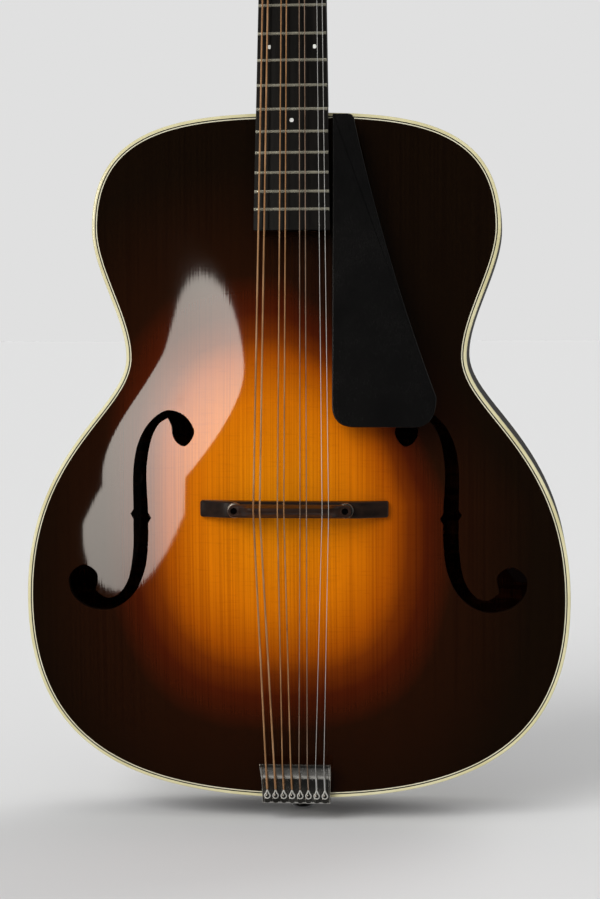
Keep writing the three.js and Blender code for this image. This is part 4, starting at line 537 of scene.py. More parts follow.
class Recipe:
    """A material's nodes, added one by one round its shader."""

    def __init__(self, name: str) -> None:
        """Starts an empty material of that name."""
        self.material = bpy.data.materials.new(name)
        self.material.use_nodes = True
        self.tree = self.material.node_tree
        self.shader = self.tree.nodes["Principled BSDF"]
        self.coordinates = self.tree.nodes.new("ShaderNodeTexCoord")

    def add(self, kind: str, **settings: object) -> bpy.types.Node:
        """A node of that kind with its settings."""
        node = self.tree.nodes.new(kind)
        for key, value in settings.items():
            setattr(node, key, value)
        return node

    def feed(self, node: bpy.types.Node, **inputs: object) -> bpy.types.Node:
        """Links or sets a node's inputs: n2 is input 2, and an underscore stands for a space."""
        for key, value in inputs.items():
            numbered = key[0] == "n" and key[1:].isdigit()
            target = node.inputs[int(key[1:]) if numbered else key.replace("_", " ")]
            if isinstance(value, Socket):
                self.tree.links.new(value, target)
            else:
                target.default_value = value
        return node

    def surface(self, **inputs: object) -> Recipe:
        """Links or sets inputs of the shader."""
        self.feed(self.shader, **inputs)
        return self

    def noise(
        self,
        stretch: Triple,
        detail: float = 3.0,
        roughness: float = 0.55,
        distortion: float = 0.0,
    ) -> Socket:
        """Noise from 0 to 1.

        Args:
            stretch: Waves per metre along X, Y and Z.
            detail: How many finer layers.
            roughness: How strong the finer layers are.
            distortion: How far the pattern is pulled about.

        Returns:
            The noise's socket.
        """
        place = self.add("ShaderNodeMapping")
        self.feed(place, Vector=self.coordinates.outputs["Object"], Scale=stretch)
        node = self.add("ShaderNodeTexNoise")
        self.feed(node, Vector=place.outputs[0], Scale=1.0, Detail=detail)
        return self.feed(node, Roughness=roughness, Distortion=distortion).outputs[0]

    def scaled(self, value: Socket, low: float, high: float, start: float = 0.0, end: float = 1.0) -> Socket:
        """A value moved from the span start to end into the span low to high."""
        node = self.add("ShaderNodeMapRange")
        return self.feed(node, n0=value, n1=start, n2=end, n3=low, n4=high).outputs[0]

    def ramp(self, value: Socket, *stops: tuple[float, str]) -> Socket:
        """Colours by a value: hex codes at places from 0 to 1."""
        node = self.add("ShaderNodeValToRGB")
        band = node.color_ramp
        for position, code in stops[1:-1]:
            band.elements.new(position).color = paint(code)
        for place in (0, -1):
            band.elements[place].position = stops[place][0]
            band.elements[place].color = paint(stops[place][1])
        self.feed(node, Fac=value)
        return node.outputs[0]

    def blended(self, kind: str, a: object, b: object, share: object = 1.0) -> Socket:
        """Two colours mixed by one of Blender's ways of mixing, such as MULTIPLY or MIX."""
        node = self.add("ShaderNodeMix", data_type="RGBA", blend_type=kind)
        return self.feed(node, n0=share, n6=a, n7=b).outputs[2]

    def sum(self, kind: str, a: object, b: object) -> Socket:
        """One step of arithmetic, such as ADD or MULTIPLY."""
        return self.feed(self.add("ShaderNodeMath", operation=kind), n0=a, n1=b).outputs[0]

    def attribute(self, name: str) -> Socket:
        """A number that the mesh holds at each point."""
        return self.add("ShaderNodeAttribute", attribute_name=name).outputs["Fac"]

    def bump(self, height: Socket, strength: float, distance: float, socket: str = "Normal") -> Recipe:
        """Tilts the surface by a height, distance in metres."""
        node = self.feed(self.add("ShaderNodeBump"), Strength=strength, Distance=distance, Height=height)
        self.tree.links.new(node.outputs[0], self.shader.inputs[socket])
        return self


@dataclass(frozen=True)
class Lacquered:
    """Wood under clear gloss lacquer: fine pores and grain below, a smooth coat above.

    Args:
        name: The material's name.
        stops: Colours by the grain, dark to light.
        grain: Waves per metre of the grain along X, Y and Z.
        figure: Waves per metre of the wider figure, or zeros for none.
        coat: How much of the coat there is.
        gloss: The coat's roughness.
    """

    name: str
    stops: Stops
    grain: Triple
    figure: Triple = (0.0, 0.0, 0.0)
    coat: float = 1.0
    gloss: float = 0.05

    def made(self) -> Material:
        """The material."""
        r = Recipe(self.name)
        lines = r.noise(self.grain, detail=5, roughness=0.62)
        tone = lines
        if any(self.figure):
            wide = r.noise(self.figure, detail=2, distortion=0.6)
            tone = r.sum("ADD", r.sum("MULTIPLY", lines, 0.45), r.sum("MULTIPLY", wide, 0.6))
        colour = r.ramp(r.scaled(tone, 0, 1, 0.25, 0.8), *self.stops)
        r.surface(Base_Color=colour, Roughness=r.scaled(lines, 0.38, 0.6), Specular_IOR_Level=0.0)
        r.surface(Coat_Weight=self.coat, Coat_Roughness=self.gloss)
        return r.bump(lines, 0.25, 0.0002).material


@dataclass(frozen=True)
class Sunburst:
    """Spruce under a sunburst and clear gloss lacquer. The mesh's burst attribute is 0 in the amber
    middle and 1 half way to the dark edge.

    Args:
        stops: Colours by the burst, over the span 0 to 2.
        lines_per_metre: Dark winter lines of the spruce across the plate.
        streaks: How strongly those lines darken the colour.
        patches: How strongly wider stripes darken it.
        flakes: How strongly the silk across the grain darkens it.
        gloss: The lacquer's roughness.
    """

    stops: Stops = (
        (0.0, "#e68a06"), (0.3, "#d47304"), (0.43, "#a75002"), (0.5, "#6e2d04"), (0.57, "#481704"),
        (0.68, "#220e04"), (1.0, "#120903"),
    )
    lines_per_metre: float = 980.0
    streaks: float = 0.6
    patches: float = 0.12
    flakes: float = 0.35
    gloss: float = 0.035

    def made(self) -> Material:
        """The material."""
        r = Recipe("sunburst_spruce")
        grain = r.noise((self.lines_per_metre, 0, 4), detail=1, roughness=0.5)
        broad = r.noise((150, 0, 2), detail=2)
        silk = r.noise((60, 0, 700), detail=2, distortion=0.4)
        cloud = r.noise((9, 9, 9), detail=3)
        drift = r.scaled(cloud, -0.04, 0.04)
        colour = r.ramp(r.sum("MULTIPLY", r.sum("ADD", r.attribute("burst"), drift), 0.5), *self.stops)
        layers = (
            (grain, ((0.34, "#cdbca8"), (0.52, "#f6f1ea"), (0.66, "#ffffff")), self.streaks),
            (broad, ((0.3, "#dcd2c6"), (0.62, "#ffffff")), self.patches),
            (silk, ((0.55, "#ffffff"), (0.72, "#dfd6ca")), self.flakes),
        )
        for noise, stops, share in layers:
            colour = r.blended("MULTIPLY", colour, r.ramp(noise, *stops), share)
        r.surface(Specular_IOR_Level=0.0, Base_Color=colour, Roughness=r.scaled(grain, 0.42, 0.6))
        r.surface(Coat_Weight=1.0, Coat_Roughness=self.gloss)
        ripple = r.sum("ADD", r.sum("MULTIPLY", grain, 0.6), r.sum("MULTIPLY", silk, 0.4))
        r.bump(ripple, 0.3, 0.00025)
        return r.bump(ripple, 0.05, 0.0001, "Coat Normal").material


@dataclass(frozen=True)
class Ebony:
    """Close-grained black wood, oiled or lacquered: brown-black streaks along the grain and fine pores.

    Args:
        name: The material's name.
        stops: Colours by the streaks.
        streaks: Waves per metre of the streaks along X, Y and Z.
        polish: Roughness of the smoothest parts.
        coat: How much clear coat there is.
    """

    name: str
    stops: Stops = ((0.3, "#0c0a09"), (0.6, "#191310"), (0.8, "#2a201a"))
    streaks: Triple = (260.0, 260.0, 9.0)
    polish: float = 0.34
    coat: float = 0.0

    def made(self) -> Material:
        """The material."""
        r = Recipe(self.name)
        streak = r.noise(self.streaks, detail=4, roughness=0.6)
        pores = r.noise(tuple(6 * s for s in self.streaks), detail=1)
        dark = r.ramp(pores, (0.28, "#2c2622"), (0.4, "#ffffff"))
        colour = r.blended("MULTIPLY", r.ramp(streak, *self.stops), dark, 0.5)
        r.surface(Base_Color=colour, Roughness=r.scaled(streak, self.polish, self.polish + 0.2))
        r.surface(Coat_Weight=self.coat, Coat_Roughness=0.1, Specular_IOR_Level=0.4)
        return r.bump(pores, 0.3, 0.0001).material


@dataclass(frozen=True)
class BareWood:
    """Sanded wood inside the body: pale or brown, with soft lines along the grain.

    Args:
        name: The material's name.
        stops: Colours by the grain.
        grain: Waves per metre along X, Y and Z.
    """

    name: str
    stops: Stops
    grain: Triple

    def made(self) -> Material:
        """The material."""
        r = Recipe(self.name)
        lines = r.noise(self.grain, detail=4, roughness=0.6)
        dust = r.noise((40, 40, 40), detail=2)
        wood = r.ramp(lines, *self.stops)
        colour = r.blended("MULTIPLY", wood, r.ramp(dust, (0.2, "#c8c0b6"), (0.7, "#ffffff")), 0.6)
        r.surface(Base_Color=colour, Roughness=r.scaled(lines, 0.6, 0.82))
        return r.bump(lines, 0.4, 0.0003).material


@dataclass(frozen=True)
class Metal:
    """Bare or plated metal: faint clouds in its colour, fine scratches in its polish.

    Args:
        name: The material's name.
        stops: Colours by the clouds.
        polish: Roughness of the smoothest parts.
        wear: How much rougher the dull parts are.
        scratch: Waves per metre of the scratches along X, Y and Z.
        bare: How far the metal is free of the film that scatters light.
    """

    name: str
    stops: Stops
    polish: float = 0.16
    wear: float = 0.16
    scratch: Triple = (900.0, 900.0, 160.0)
    bare: float = 1.0

    def made(self) -> Material:
        """The material."""
        r = Recipe(self.name)
        clouds = r.noise((110, 110, 110), detail=4)
        scratches = r.noise(self.scratch, detail=3, roughness=0.7)
        r.surface(Base_Color=r.ramp(clouds, *self.stops), Metallic=self.bare)
        dull = r.sum("MULTIPLY", clouds, scratches)
        r.surface(Roughness=r.scaled(dull, self.polish, self.polish + self.wear, 0.1, 0.45))
        return r.bump(scratches, 0.08, 0.00005).material


@dataclass(frozen=True)
class Wrapped:
    """A string: wrap wire round a core, or plain wire. The mesh's along attribute is the way along it in
    millimetres, and the wrap's height is the absolute sine of half a turn for each pitch. The colour is
    darkened in the grooves between wraps: painted shade.

    Args:
        name: The material's name.
        stops: Colours by the tarnish.
        pitch: Millimetres from one wrap to the next, or 0 for plain wire.
        polish: Roughness of the clean parts.
        bare: How far the metal is free of the film that scatters light.
    """

    name: str
    stops: Stops
    pitch: float
    polish: float = 0.26
    bare: float = 0.45

    def made(self) -> Material:
        """The material."""
        r = Recipe(self.name)
        tarnish = r.noise((260, 260, 26), detail=4, roughness=0.6)
        colour = r.ramp(tarnish, *self.stops)
        if self.pitch:
            wrap = r.sum("SINE", r.sum("MULTIPLY", r.attribute("along"), math.pi / self.pitch), 0)
            ridge = r.sum("ABSOLUTE", wrap, 0)
            # Painted shade: the colour darkens in the grooves between the wraps.
            colour = r.blended("MULTIPLY", colour, r.ramp(ridge, (0.0, "#6b5648"), (0.45, "#ffffff")), 0.75)
            r.bump(ridge, 0.35, 0.0001)
        rough = r.scaled(tarnish, self.polish, self.polish + 0.18, 0.3, 0.75)
        return r.surface(Base_Color=colour, Metallic=self.bare, Roughness=rough).material


@dataclass(frozen=True)
class Moulded:
    """Plastic, bone or shell: a colour with soft clouds, a polish with faint scratches.

    Args:
        name: The material's name.
        stops: Colours by the clouds.
        polish: Roughness of the smoothest parts.
        coat: How much clear coat there is.
        clouds: Waves per metre of the clouds along X, Y and Z.
        bump: Strength of the surface's unevenness.
    """

    name: str
    stops: Stops
    polish: float = 0.2
    coat: float = 0.0
    clouds: Triple = (60.0, 60.0, 60.0)
    bump: float = 0.06

    def made(self) -> Material:
        """The material."""
        r = Recipe(self.name)
        soft = r.noise(self.clouds, detail=4, roughness=0.6)
        fine = r.noise((1500, 1500, 420), detail=2, roughness=0.7)
        r.surface(Base_Color=r.ramp(soft, *self.stops), Coat_Weight=self.coat, Coat_Roughness=0.06)
        halves = [r.sum("MULTIPLY", layer, 0.5) for layer in (soft, fine)]
        r.surface(Roughness=r.scaled(r.sum("ADD", *halves), self.polish, self.polish + 0.16, 0.3, 0.7))
        return r.bump(fine, self.bump, 0.00005).material


class Finish(Enum):
    """Every finish on the instrument."""

    SUNBURST = Sunburst()
    HOLE_EDGE = Lacquered(
        "stained_hole_edge", ((0.0, "#0d0805"), (1.0, "#1c120b")), (300, 300, 40), coat=0.3, gloss=0.3
    )
    SIDES = Lacquered(
        "stained_maple_sides",
        ((0.0, "#120604"), (0.45, "#1f0b06"), (0.75, "#34150c"), (1.0, "#48200f")),
        (420, 30, 420),
        figure=(20, 150, 20),
    )
    BACK = Lacquered(
        "stained_maple_back",
        ((0.0, "#140704"), (0.4, "#260e07"), (0.7, "#45200f"), (1.0, "#5e3116")),
        (500, 20, 16),
        figure=(16, 10, 170),
    )
    NECK = Lacquered(
        "lacquered_neck_wood",
        ((0.0, "#130805"), (0.5, "#1f0f09"), (1.0, "#34190d")),
        (330, 330, 10),
        gloss=0.09,
    )
    FACE = Lacquered("black_headplate", ((0.0, "#060505"), (1.0, "#131010")), (400, 400, 12), gloss=0.06)
    BOARD = Ebony("oiled_fingerboard", ((0.3, "#080706"), (0.6, "#110e0b"), (0.8, "#1e1813")), polish=0.3)
    CAP = Ebony("heel_cap_ebony", streaks=(180.0, 20.0, 180.0), coat=0.8)
    BRIDGE = Ebony("bridge_wood", ((0.3, "#150d09"), (0.6, "#26170f"), (0.85, "#3a2416")), ACROSS, 0.3)
    SADDLE = Ebony("saddle_wood", ((0.3, "#1a100a"), (0.6, "#301b11"), (0.85, "#482b19")), ACROSS, 0.28)
    PIN = Ebony("turned_end_pin", polish=0.22, coat=0.4)
    CREAM = Moulded(
        "aged_cream_binding",
        ((0.25, "#c9bf8f"), (0.5, "#d8d0a4"), (0.8, "#e2dcb8")),
        0.25,
        coat=1.0,
        clouds=(30.0, 30.0, 30.0),
    )
    BLACK_LINE = Moulded("black_binding_line", ((0.0, "#0a0807"), (1.0, "#15110e")), 0.3, coat=1.0)
    WHITE_LINE = Moulded("white_binding_line", ((0.2, "#cfc8a8"), (0.8, "#e6e1c8")), 0.3, coat=1.0)
    GUARD = Moulded(
        "polished_black_pickguard",
        ((0.2, "#060606"), (0.8, "#0d0c0c")),
        0.16,
        clouds=(20.0, 20.0, 20.0),
        bump=0.02,
    )
    BONE = Moulded(
        "polished_bone",
        ((0.3, "#ddd3b4"), (0.55, "#ebe4cd"), (0.8, "#f3eedd")),
        0.32,
        clouds=(500.0, 90.0, 500.0),
        bump=0.2,
    )
    SHELL = Moulded(
        "mother_of_pearl",
        ((0.3, "#c4ccc6"), (0.5, "#e9e8de"), (0.7, "#dcd4dc")),
        0.12,
        coat=0.5,
        clouds=(900.0, 900.0, 400.0),
        bump=0.05,
    )
    SPRUCE_BARE = BareWood(
        "bare_spruce",
        ((0.3, "#b8935c"), (0.6, "#d9bd8a"), (0.8, "#e4cc9f")),
        (420, 420, 6),
    )
    MAHOGANY = BareWood(
        "bare_mahogany",
        ((0.3, "#4a2616"), (0.55, "#6b3a22"), (0.8, "#82502f")),
        (260, 260, 14),
    )
    NICKEL = Metal("nickel_plate", ((0.3, "#a8a49c"), (0.55, "#c9c6bf"), (0.8, "#d6d4ce")))
    WORN_NICKEL = Metal("worn_nickel", ((0.3, "#8a857a"), (0.55, "#b9b5ab"), (0.8, "#cfccc4")), 0.2, 0.22)
    LOOP = Metal("string_loop_wire", ((0.3, "#d8d6cf"), (0.6, "#efede6")), 0.3, 0.1, bare=0.5)
    FRET = Metal("fret_wire", ((0.3, "#bdb8a4"), (0.6, "#d6d0ba")), 0.2, 0.14, (160.0, 900.0, 900.0), 0.75)
    STEEL = Metal("truss_rod_steel", ((0.3, "#6f6f72"), (0.7, "#98989b")), 0.3, 0.2)
    # Painted shade: near-black metal for the posts' ends, standing in for the shade in the saddle's post
    # holes.
    BLUED = Metal("blued_steel", ((0.3, "#0c0c0d"), (0.7, "#1a1a1c")), 0.5, 0.2)
    BRASS = Metal("truss_nut_brass", ((0.3, "#8c6b33"), (0.7, "#bd9750")), 0.24, 0.2)
    G_STRING = Wrapped("bronze_g_string", ((0.3, "#a2744c"), (0.55, "#c8986a"), (0.8, "#deb48c")), 0.42)
    D_STRING = Wrapped("bronze_d_string", ((0.3, "#9c7048"), (0.55, "#c29264"), (0.8, "#d8ae86")), 0.32)
    A_STRING = Wrapped("wound_a_string", ((0.3, "#7d6450"), (0.55, "#a58a74"), (0.8, "#c0aa98")), 0.24)
    E_STRING = Wrapped("plain_e_string", ((0.3, "#c2c1bd"), (0.6, "#d2d1cd"), (0.8, "#dddcd9")), 0.0, 0.3)


class Palette:
    """Makes each finish once and hands out its material."""

    def __init__(self) -> None:
        """Starts with no material made."""
        self.made: dict[Finish, Material] = {}

    def __call__(self, finish: Finish) -> Material:
        """The material of a finish."""
        if finish not in self.made:
            self.made[finish] = finish.value.made()
        return self.made[finish]

    def coat(self, finish: Finish, *nodes: str) -> None:
        """Gives CAD nodes a finish."""
        for name in nodes:
            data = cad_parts[name].data
            data.materials.clear()
            data.materials.append(self(finish))
            LOG.info("%s: kept from the frame, %s", name, finish.name.lower())


@dataclass
class SubAssembly:
    """A part of the instrument that is built in one go.

    Args:
        bench: Turns bench points into the frame's metres.
        palette: Hands out the finishes.
    """

    bench: Bench
    palette: Palette

    def shaped(self, name: str, draft: Draft, *finishes: Finish, crease: float = CREASE) -> Piece:
        """The draft as a piece of that name, in its finishes, sharp past the crease in degrees."""
        return draft.build(name, self.bench, *(self.palette(finish) for finish in finishes), crease=crease)


# Sound box


@dataclass(frozen=True)
class Outline:
    """The body's outline: four cubic bends up its treble side, mirrored on the bass side.

    Args:
        tail: How far the tail lies below the bridge line.
        shoulder: How far the shoulder lies above it.
        lower: Half width and height of the lower bout's widest point.
        waist: The same of the waist.
        upper: The same of the upper bout.
        tail_bend: Shares that pull the bend from the tail to the lower bout.
        hip_bend: The same to the waist.
        chest_bend: The same to the upper bout.
        shoulder_bend: The same to the shoulder.
        stations: Points on each half.
    """

    tail: float = 191.7
    shoulder: float = 254.7
    lower: Pair = (178.0, -60.4)
    waist: Pair = (110.8, 97.6)
    upper: Pair = (132.9, 180.9)
    tail_bend: Pair = (0.629, 0.75)
    hip_bend: Pair = (0.617, 0.218)
    chest_bend: Pair = (0.303, 0.319)
    shoulder_bend: Pair = (0.95, 0.513)
    stations: int = 180

    def fine(self, steps: int = 400) -> Points:
        """The treble half from tail to shoulder: each bend is the sum of its four points, weighed by the
        cubic Bernstein polynomials."""
        (lx, ly), (wx, wy), (ux, uy) = self.lower, self.waist, self.upper
        tail, top = -self.tail, self.shoulder
        (ta, tb), (ha, hb) = self.tail_bend, self.hip_bend
        (ca, cb), (sa, sb) = self.chest_bend, self.shoulder_bend
        bends = np.array(
            [
                [(0, tail), (lx * ta, tail), (lx, mix(ly, tail, tb)), (lx, ly)],
                [(lx, ly), (lx, mix(ly, wy, ha)), (wx, mix(wy, ly, hb)), (wx, wy)],
                [(wx, wy), (wx, mix(wy, uy, ca)), (ux, mix(uy, wy, cb)), (ux, uy)],
                [(ux, uy), (ux, mix(uy, top, sa)), (ux * sb, top), (0, top)],
            ]
        )
        t = np.linspace(0, 1, steps, endpoint=False)[:, None]
        weights = np.concatenate([(1 - t) ** 3, 3 * (1 - t) ** 2 * t, 3 * (1 - t) * t**2, t**3], 1)
        return np.vstack([*(weights @ bend for bend in bends), bends[-1][-1:]])

    def whole(self) -> tuple[Points, Points]:
        """Points at even steps round the outline, and their outward normals."""
        line = self.fine()
        walked = np.r_[0, np.cumsum(np.linalg.norm(np.diff(line, axis=0), axis=1))]
        even = np.linspace(0, walked[-1], self.stations)
        half = np.stack([np.interp(even, walked, line[:, k]) for k in (0, 1)], -1)
        ring = np.vstack([half, half[-2:0:-1] * (-1, 1)])
        return ring, outward(ring)

    def width_at(self, y: Points) -> Points:
        """Half the body's width at a height."""
        line = self.fine()
        return np.interp(y, line[:, 1], line[:, 0])

    def carved(self, x: Points, y: Points, margin: float, power: float) -> Points:
        """Share of the arch at a place: the product, across and along, of half of one plus the cosine of
        half a turn times the way out to the edge, raised to a power."""
        wide = np.maximum(self.width_at(y) - margin, 0.3)
        reach = np.where(y > 0, self.shoulder, self.tail) - margin
        across = np.minimum(np.abs(x / wide), 1) ** power
        along = np.minimum(np.abs(y / reach), 1) ** power
        return (1 + np.cos(math.pi * across)) * (1 + np.cos(math.pi * along)) / 4


@dataclass(frozen=True)
class HoleShape:
    """The f-hole on the treble side, as smooth runs between its two points and its two nicks.

    Args:
        head: Round the upper eye and down the outer side, from the upper point to the outer nick.
        outer_nick: The outer nick's tip.
        hook: From there to the lower point.
        foot: Round the lower eye and up the inner side to the inner nick.
        inner_nick: The inner nick's tip.
        throat: From there to the upper point.
        span: Points on each run.
    """

    head: Corners = (
        (83, 58), (80.5, 53), (79.5, 46.5), (76, 41.5), (71, 40), (65, 49), (72, 60), (84, 63), (95.5, 55),
        (103, 41.5), (106, 25), (106, -1.5),
    )
    outer_nick: Pair = (108, -4.5)
    hook: Corners = (
        (106, -8), (106.5, -30), (110.5, -49), (118, -58.5), (125, -60), (132, -55.5),
    )
    foot: Corners = (
        (132, -55.5), (131, -44), (140, -38.5), (149.5, -45.5), (148, -58), (137, -66.5),
        (121.5, -67.5), (107, -58), (98.5, -41), (96, -20), (96, -10.5),
    )
    inner_nick: Pair = (94, -7)
    throat: Corners = (
        (96, -3.5), (97, 26), (93.5, 45.5), (88.5, 54.5), (83, 58),
    )
    span: int = 56

    @property
    def reach(self) -> float:
        """How far the hole lies from the centre line."""
        return max(x for x, _ in self.foot)

    def cutter(self, side: Side, low: float, high: float) -> Points:
        """Rings of the f-hole's upright cutter."""
        runs = (self.head, self.hook, self.foot, self.throat)
        head, hook, foot, throat = (smooth_path(np.array(run), self.span) for run in runs)
        line = np.vstack([head, [self.outer_nick], hook[:-1], foot, [self.inner_nick], throat[:-1]])
        return slab(line * (side.value, 1), low, high)


@dataclass
class SoundBox(SubAssembly):
    """Carved top and back, sides, bindings, and what is glued inside.

    Args:
        outline: The body's outline.
        hole: The f-hole's shape.
        depth: Height of the sides with the bindings.
        top_arch: Height of the top's arch.
        back_arch: Height of the back's arch.
        crown: Thickness of the plates in their middle.
        edge: Thickness of the plates at their edge.
        carve: Powers of the carve's share, outside and inside.
        centre_share: Place of the plates' centre, as a share of the way to the shoulder.
        binding: Width and depth of the bindings.
        lines: How far in a binding's black line starts and ends.
        rib: Thickness of the sides.
        lining: Width of the linings.
        burst_middle: Middle of the sunburst; it lies towards the bass side partly as painted light, for the
            brighter light on the bass side.
        burst_reach: Way to where it is half dark: to the bass side, to the treble side, and along; the
            shorter treble reach is partly painted shade of the side away from the light.
        stained: How far past the holes' widest point, and how far along, the walls' stain is looked for.
        burst_power: How square its outline is.
        burst_corner: How much nearer it comes at the upper treble corner.
        rings: Rings of points on a plate, outside and inside.
    """

    outline: Outline = Outline()
    hole: HoleShape = HoleShape()
    depth: float = 86.0
    top_arch: float = 16.0
    back_arch: float = 18.0
    crown: float = 6.0
    edge: float = 5.0
    carve: Pair = (1.2, 1.5)
    centre_share: float = 0.09
    binding: Pair = (3.4, 6.5)
    lines: Pair = (2.0, 2.75)
    rib: float = 2.2
    lining: float = 6.0
    # The sunburst is the top's own colour, but its middle's shift to the bass side and its shorter treble
    # reach are partly painted light: brighter where the light comes from.
    burst_middle: Pair = (-7.0, 2.0)
    burst_reach: Triple = (87.0, 81.0, 110.0)
    stained: Pair = (4.0, 75.0)
    burst_power: float = 2.8
    burst_corner: float = 0.5
    rings: tuple[int, int] = (52, 16)

    def top_height(self, x: Points, y: Points) -> Points:
        """Height of the top's outer face: its arch times the carve's share."""
        x, y = np.asarray(x, float), np.asarray(y, float)
        return self.top_arch * self.outline.carved(x, y, self.binding[0], self.carve[0])

    def plate(self, arch: float) -> Draft:
        """A carved plate, flat side down at height 0: rings that shrink from the edge to the plate's centre,
        first on the outer face and then on the inner one."""
        ring, normals = self.outline.whole()
        rim = ring - normals * self.binding[0]
        centre = np.array([0, self.outline.shoulder * self.centre_share])
        inset = self.rib + FIT + self.lining
        depth = arch - self.crown + self.edge

        def face(shares: Points, outer: bool) -> Points:
            """Rings of one face at shares of the way to the centre."""
            flat = mix(rim[None], centre, shares[:, None, None])
            x, y = flat[..., 0], flat[..., 1]
            if outer:
                return lifted(flat, arch * self.outline.carved(x, y, self.binding[0], self.carve[0]))
            return lifted(flat, depth * self.outline.carved(x, y, inset, self.carve[1]) - self.edge)

        last = 0.985
        outer = face(np.linspace(last, 0, self.rings[0]), True)
        inner = face(np.linspace(0, last, self.rings[1]), False)
        poles = np.array([face(np.array([1.0]), side)[0, 0] for side in (True, False)])
        return Draft().skin(np.concatenate([outer, inner]), poles=poles)

    def burst_at(self, at: Points) -> Points:
        """The sunburst at bench points, 1 where it is half dark: the ways across and along, each over its
        reach and to a power, summed and taken to the root, and more at the upper treble corner. Its middle
        and reaches make it partly painted light: more amber on the bass side, where the light comes from."""
        bass, treble, length = self.burst_reach
        across, along = (at[:, :2] - self.burst_middle).T
        across, along = across / np.where(across < 0, bass, treble), along / length
        power = self.burst_power
        burst = (np.abs(across) ** power + np.abs(along) ** power) ** (1 / power)
        return burst * (1 + self.burst_corner * np.clip(across, 0, 1) * np.clip(along, 0, 1))

    def stain_walls(self, mesh: bpy.types.Mesh) -> None:
        """Gives the second finish to the f-holes' walls: upright faces no farther out than the holes."""
        normal, centre = np.empty(len(mesh.polygons) * 3), np.empty(len(mesh.polygons) * 3)
        mesh.polygons.foreach_get("normal", normal)
        mesh.polygons.foreach_get("center", centre)
        place = np.abs(self.bench.back(centre.reshape(-1, 3))[:, :2])
        upright = np.abs(normal.reshape(-1, 3)[:, 1]) < 0.5
        past, length = self.stained
        inside = (place[:, 0] < self.hole.reach + past) & (place[:, 1] < length)
        mesh.polygons.foreach_set("material_index", (upright & inside).astype(int))

    def top(self) -> None:
        """The top: the f-holes cut through it, its sunburst stored at each point, their walls stained."""
        piece = self.shaped("carved_top", self.plate(self.top_arch), Finish.SUNBURST)
        piece.data.materials.append(self.palette(Finish.HOLE_EDGE))
        cutter = Draft()
        past = 3.0
        for side in Side:
            cutter.skin(self.hole.cutter(side, -self.edge - past, self.top_arch + past))
        hollowed(piece, cutter, self.bench, crossing=False)
        burst = self.burst_at(self.bench.back(coordinates(piece)))
        piece.data.attributes.new("burst", "FLOAT", "POINT").data.foreach_set("value", burst)
        self.stain_walls(piece.data)
        fitted_to(piece, "instrument", "spruce_top", "top_plate")

    def back(self) -> None:
        """The back: a plate turned face down below the sides."""
        draft = self.plate(self.back_arch)
        draft.points[0] = draft.points[0] * (1, 1, -1) - (0, 0, self.depth)
        draft.faces = [face[::-1] for face in draft.faces]
        piece = self.shaped("carved_back", draft, Finish.BACK)
        fitted_to(piece, "instrument", "stained_maple", "back_plate")

    def swept(self, section: Points, finish: int | Points = 0) -> Draft:
        """A closed strip round the outline: each row of the section is a depth inwards and a height."""
        ring, normals = self.outline.whole()
        flat = ring[:, None] - normals[:, None] * section[None, :, :1]
        rings = lifted(flat, np.broadcast_to(section[None, :, 1], flat.shape[:2]))
        return Draft().skin(rings, finish, loop=True)

    def bound(self, name: str, node: str, outer: float, inner: float) -> None:
        """A binding with its cream band and, on its face, a black and a white line.

        Args:
            name: The piece's name.
            node: The CAD node that it replaces.
            outer: Height of its face.
            inner: Height of its foot.
        """
        way = 1.0 if outer > inner else -1.0
        wide = self.binding[0]
        rim = np.array([(0, 0.7), (0.08, 0.35), (0.3, 0.08), (0.7, 0)]) * (1, -way) + (0, outer)
        face = [(inwards, outer) for inwards in (*self.lines, wide)]
        section = np.vstack([[(0, inner)], rim, face, [(wide, inner)]])
        kinds = np.zeros(len(section), int)
        kinds[len(rim) + 1 : len(rim) + 3] = 1, 2
        bands = (Finish.CREAM, Finish.BLACK_LINE, Finish.WHITE_LINE)
        piece = self.shaped(name, self.swept(section, kinds), *bands, crease=50)
        fitted_to(piece, "instrument", "cream_binding", node)

    def sides(self) -> None:
        """Both sides in one strip between the bindings."""
        high, low = -self.binding[1], self.binding[1] - self.depth
        section = np.array([(0, high), (0, low), (self.rib, low), (self.rib, high)])
        piece = self.shaped("bent_sides", self.swept(section), Finish.SIDES)
        fitted_to(piece, "instrument", "stained_maple", "rib_bass", "rib_treble")

    def build(self) -> None:
        """Everything of the sound box."""
        self.top()
        self.back()
        self.sides()
        self.bound("top_edge_binding", "top_binding", 0.0, -self.binding[1])
        self.bound("back_edge_binding", "back_binding", -self.depth, self.binding[1] - self.depth)
        linings = [f"{plate}_lining_{side.label}" for plate in ("top", "back") for side in Side]
        self.palette.coat(Finish.MAHOGANY, *linings, "neck_block", "tail_block")
        self.palette.coat(Finish.SPRUCE_BARE, *(f"tone_bar_{side.label}" for side in Side))


# Neck


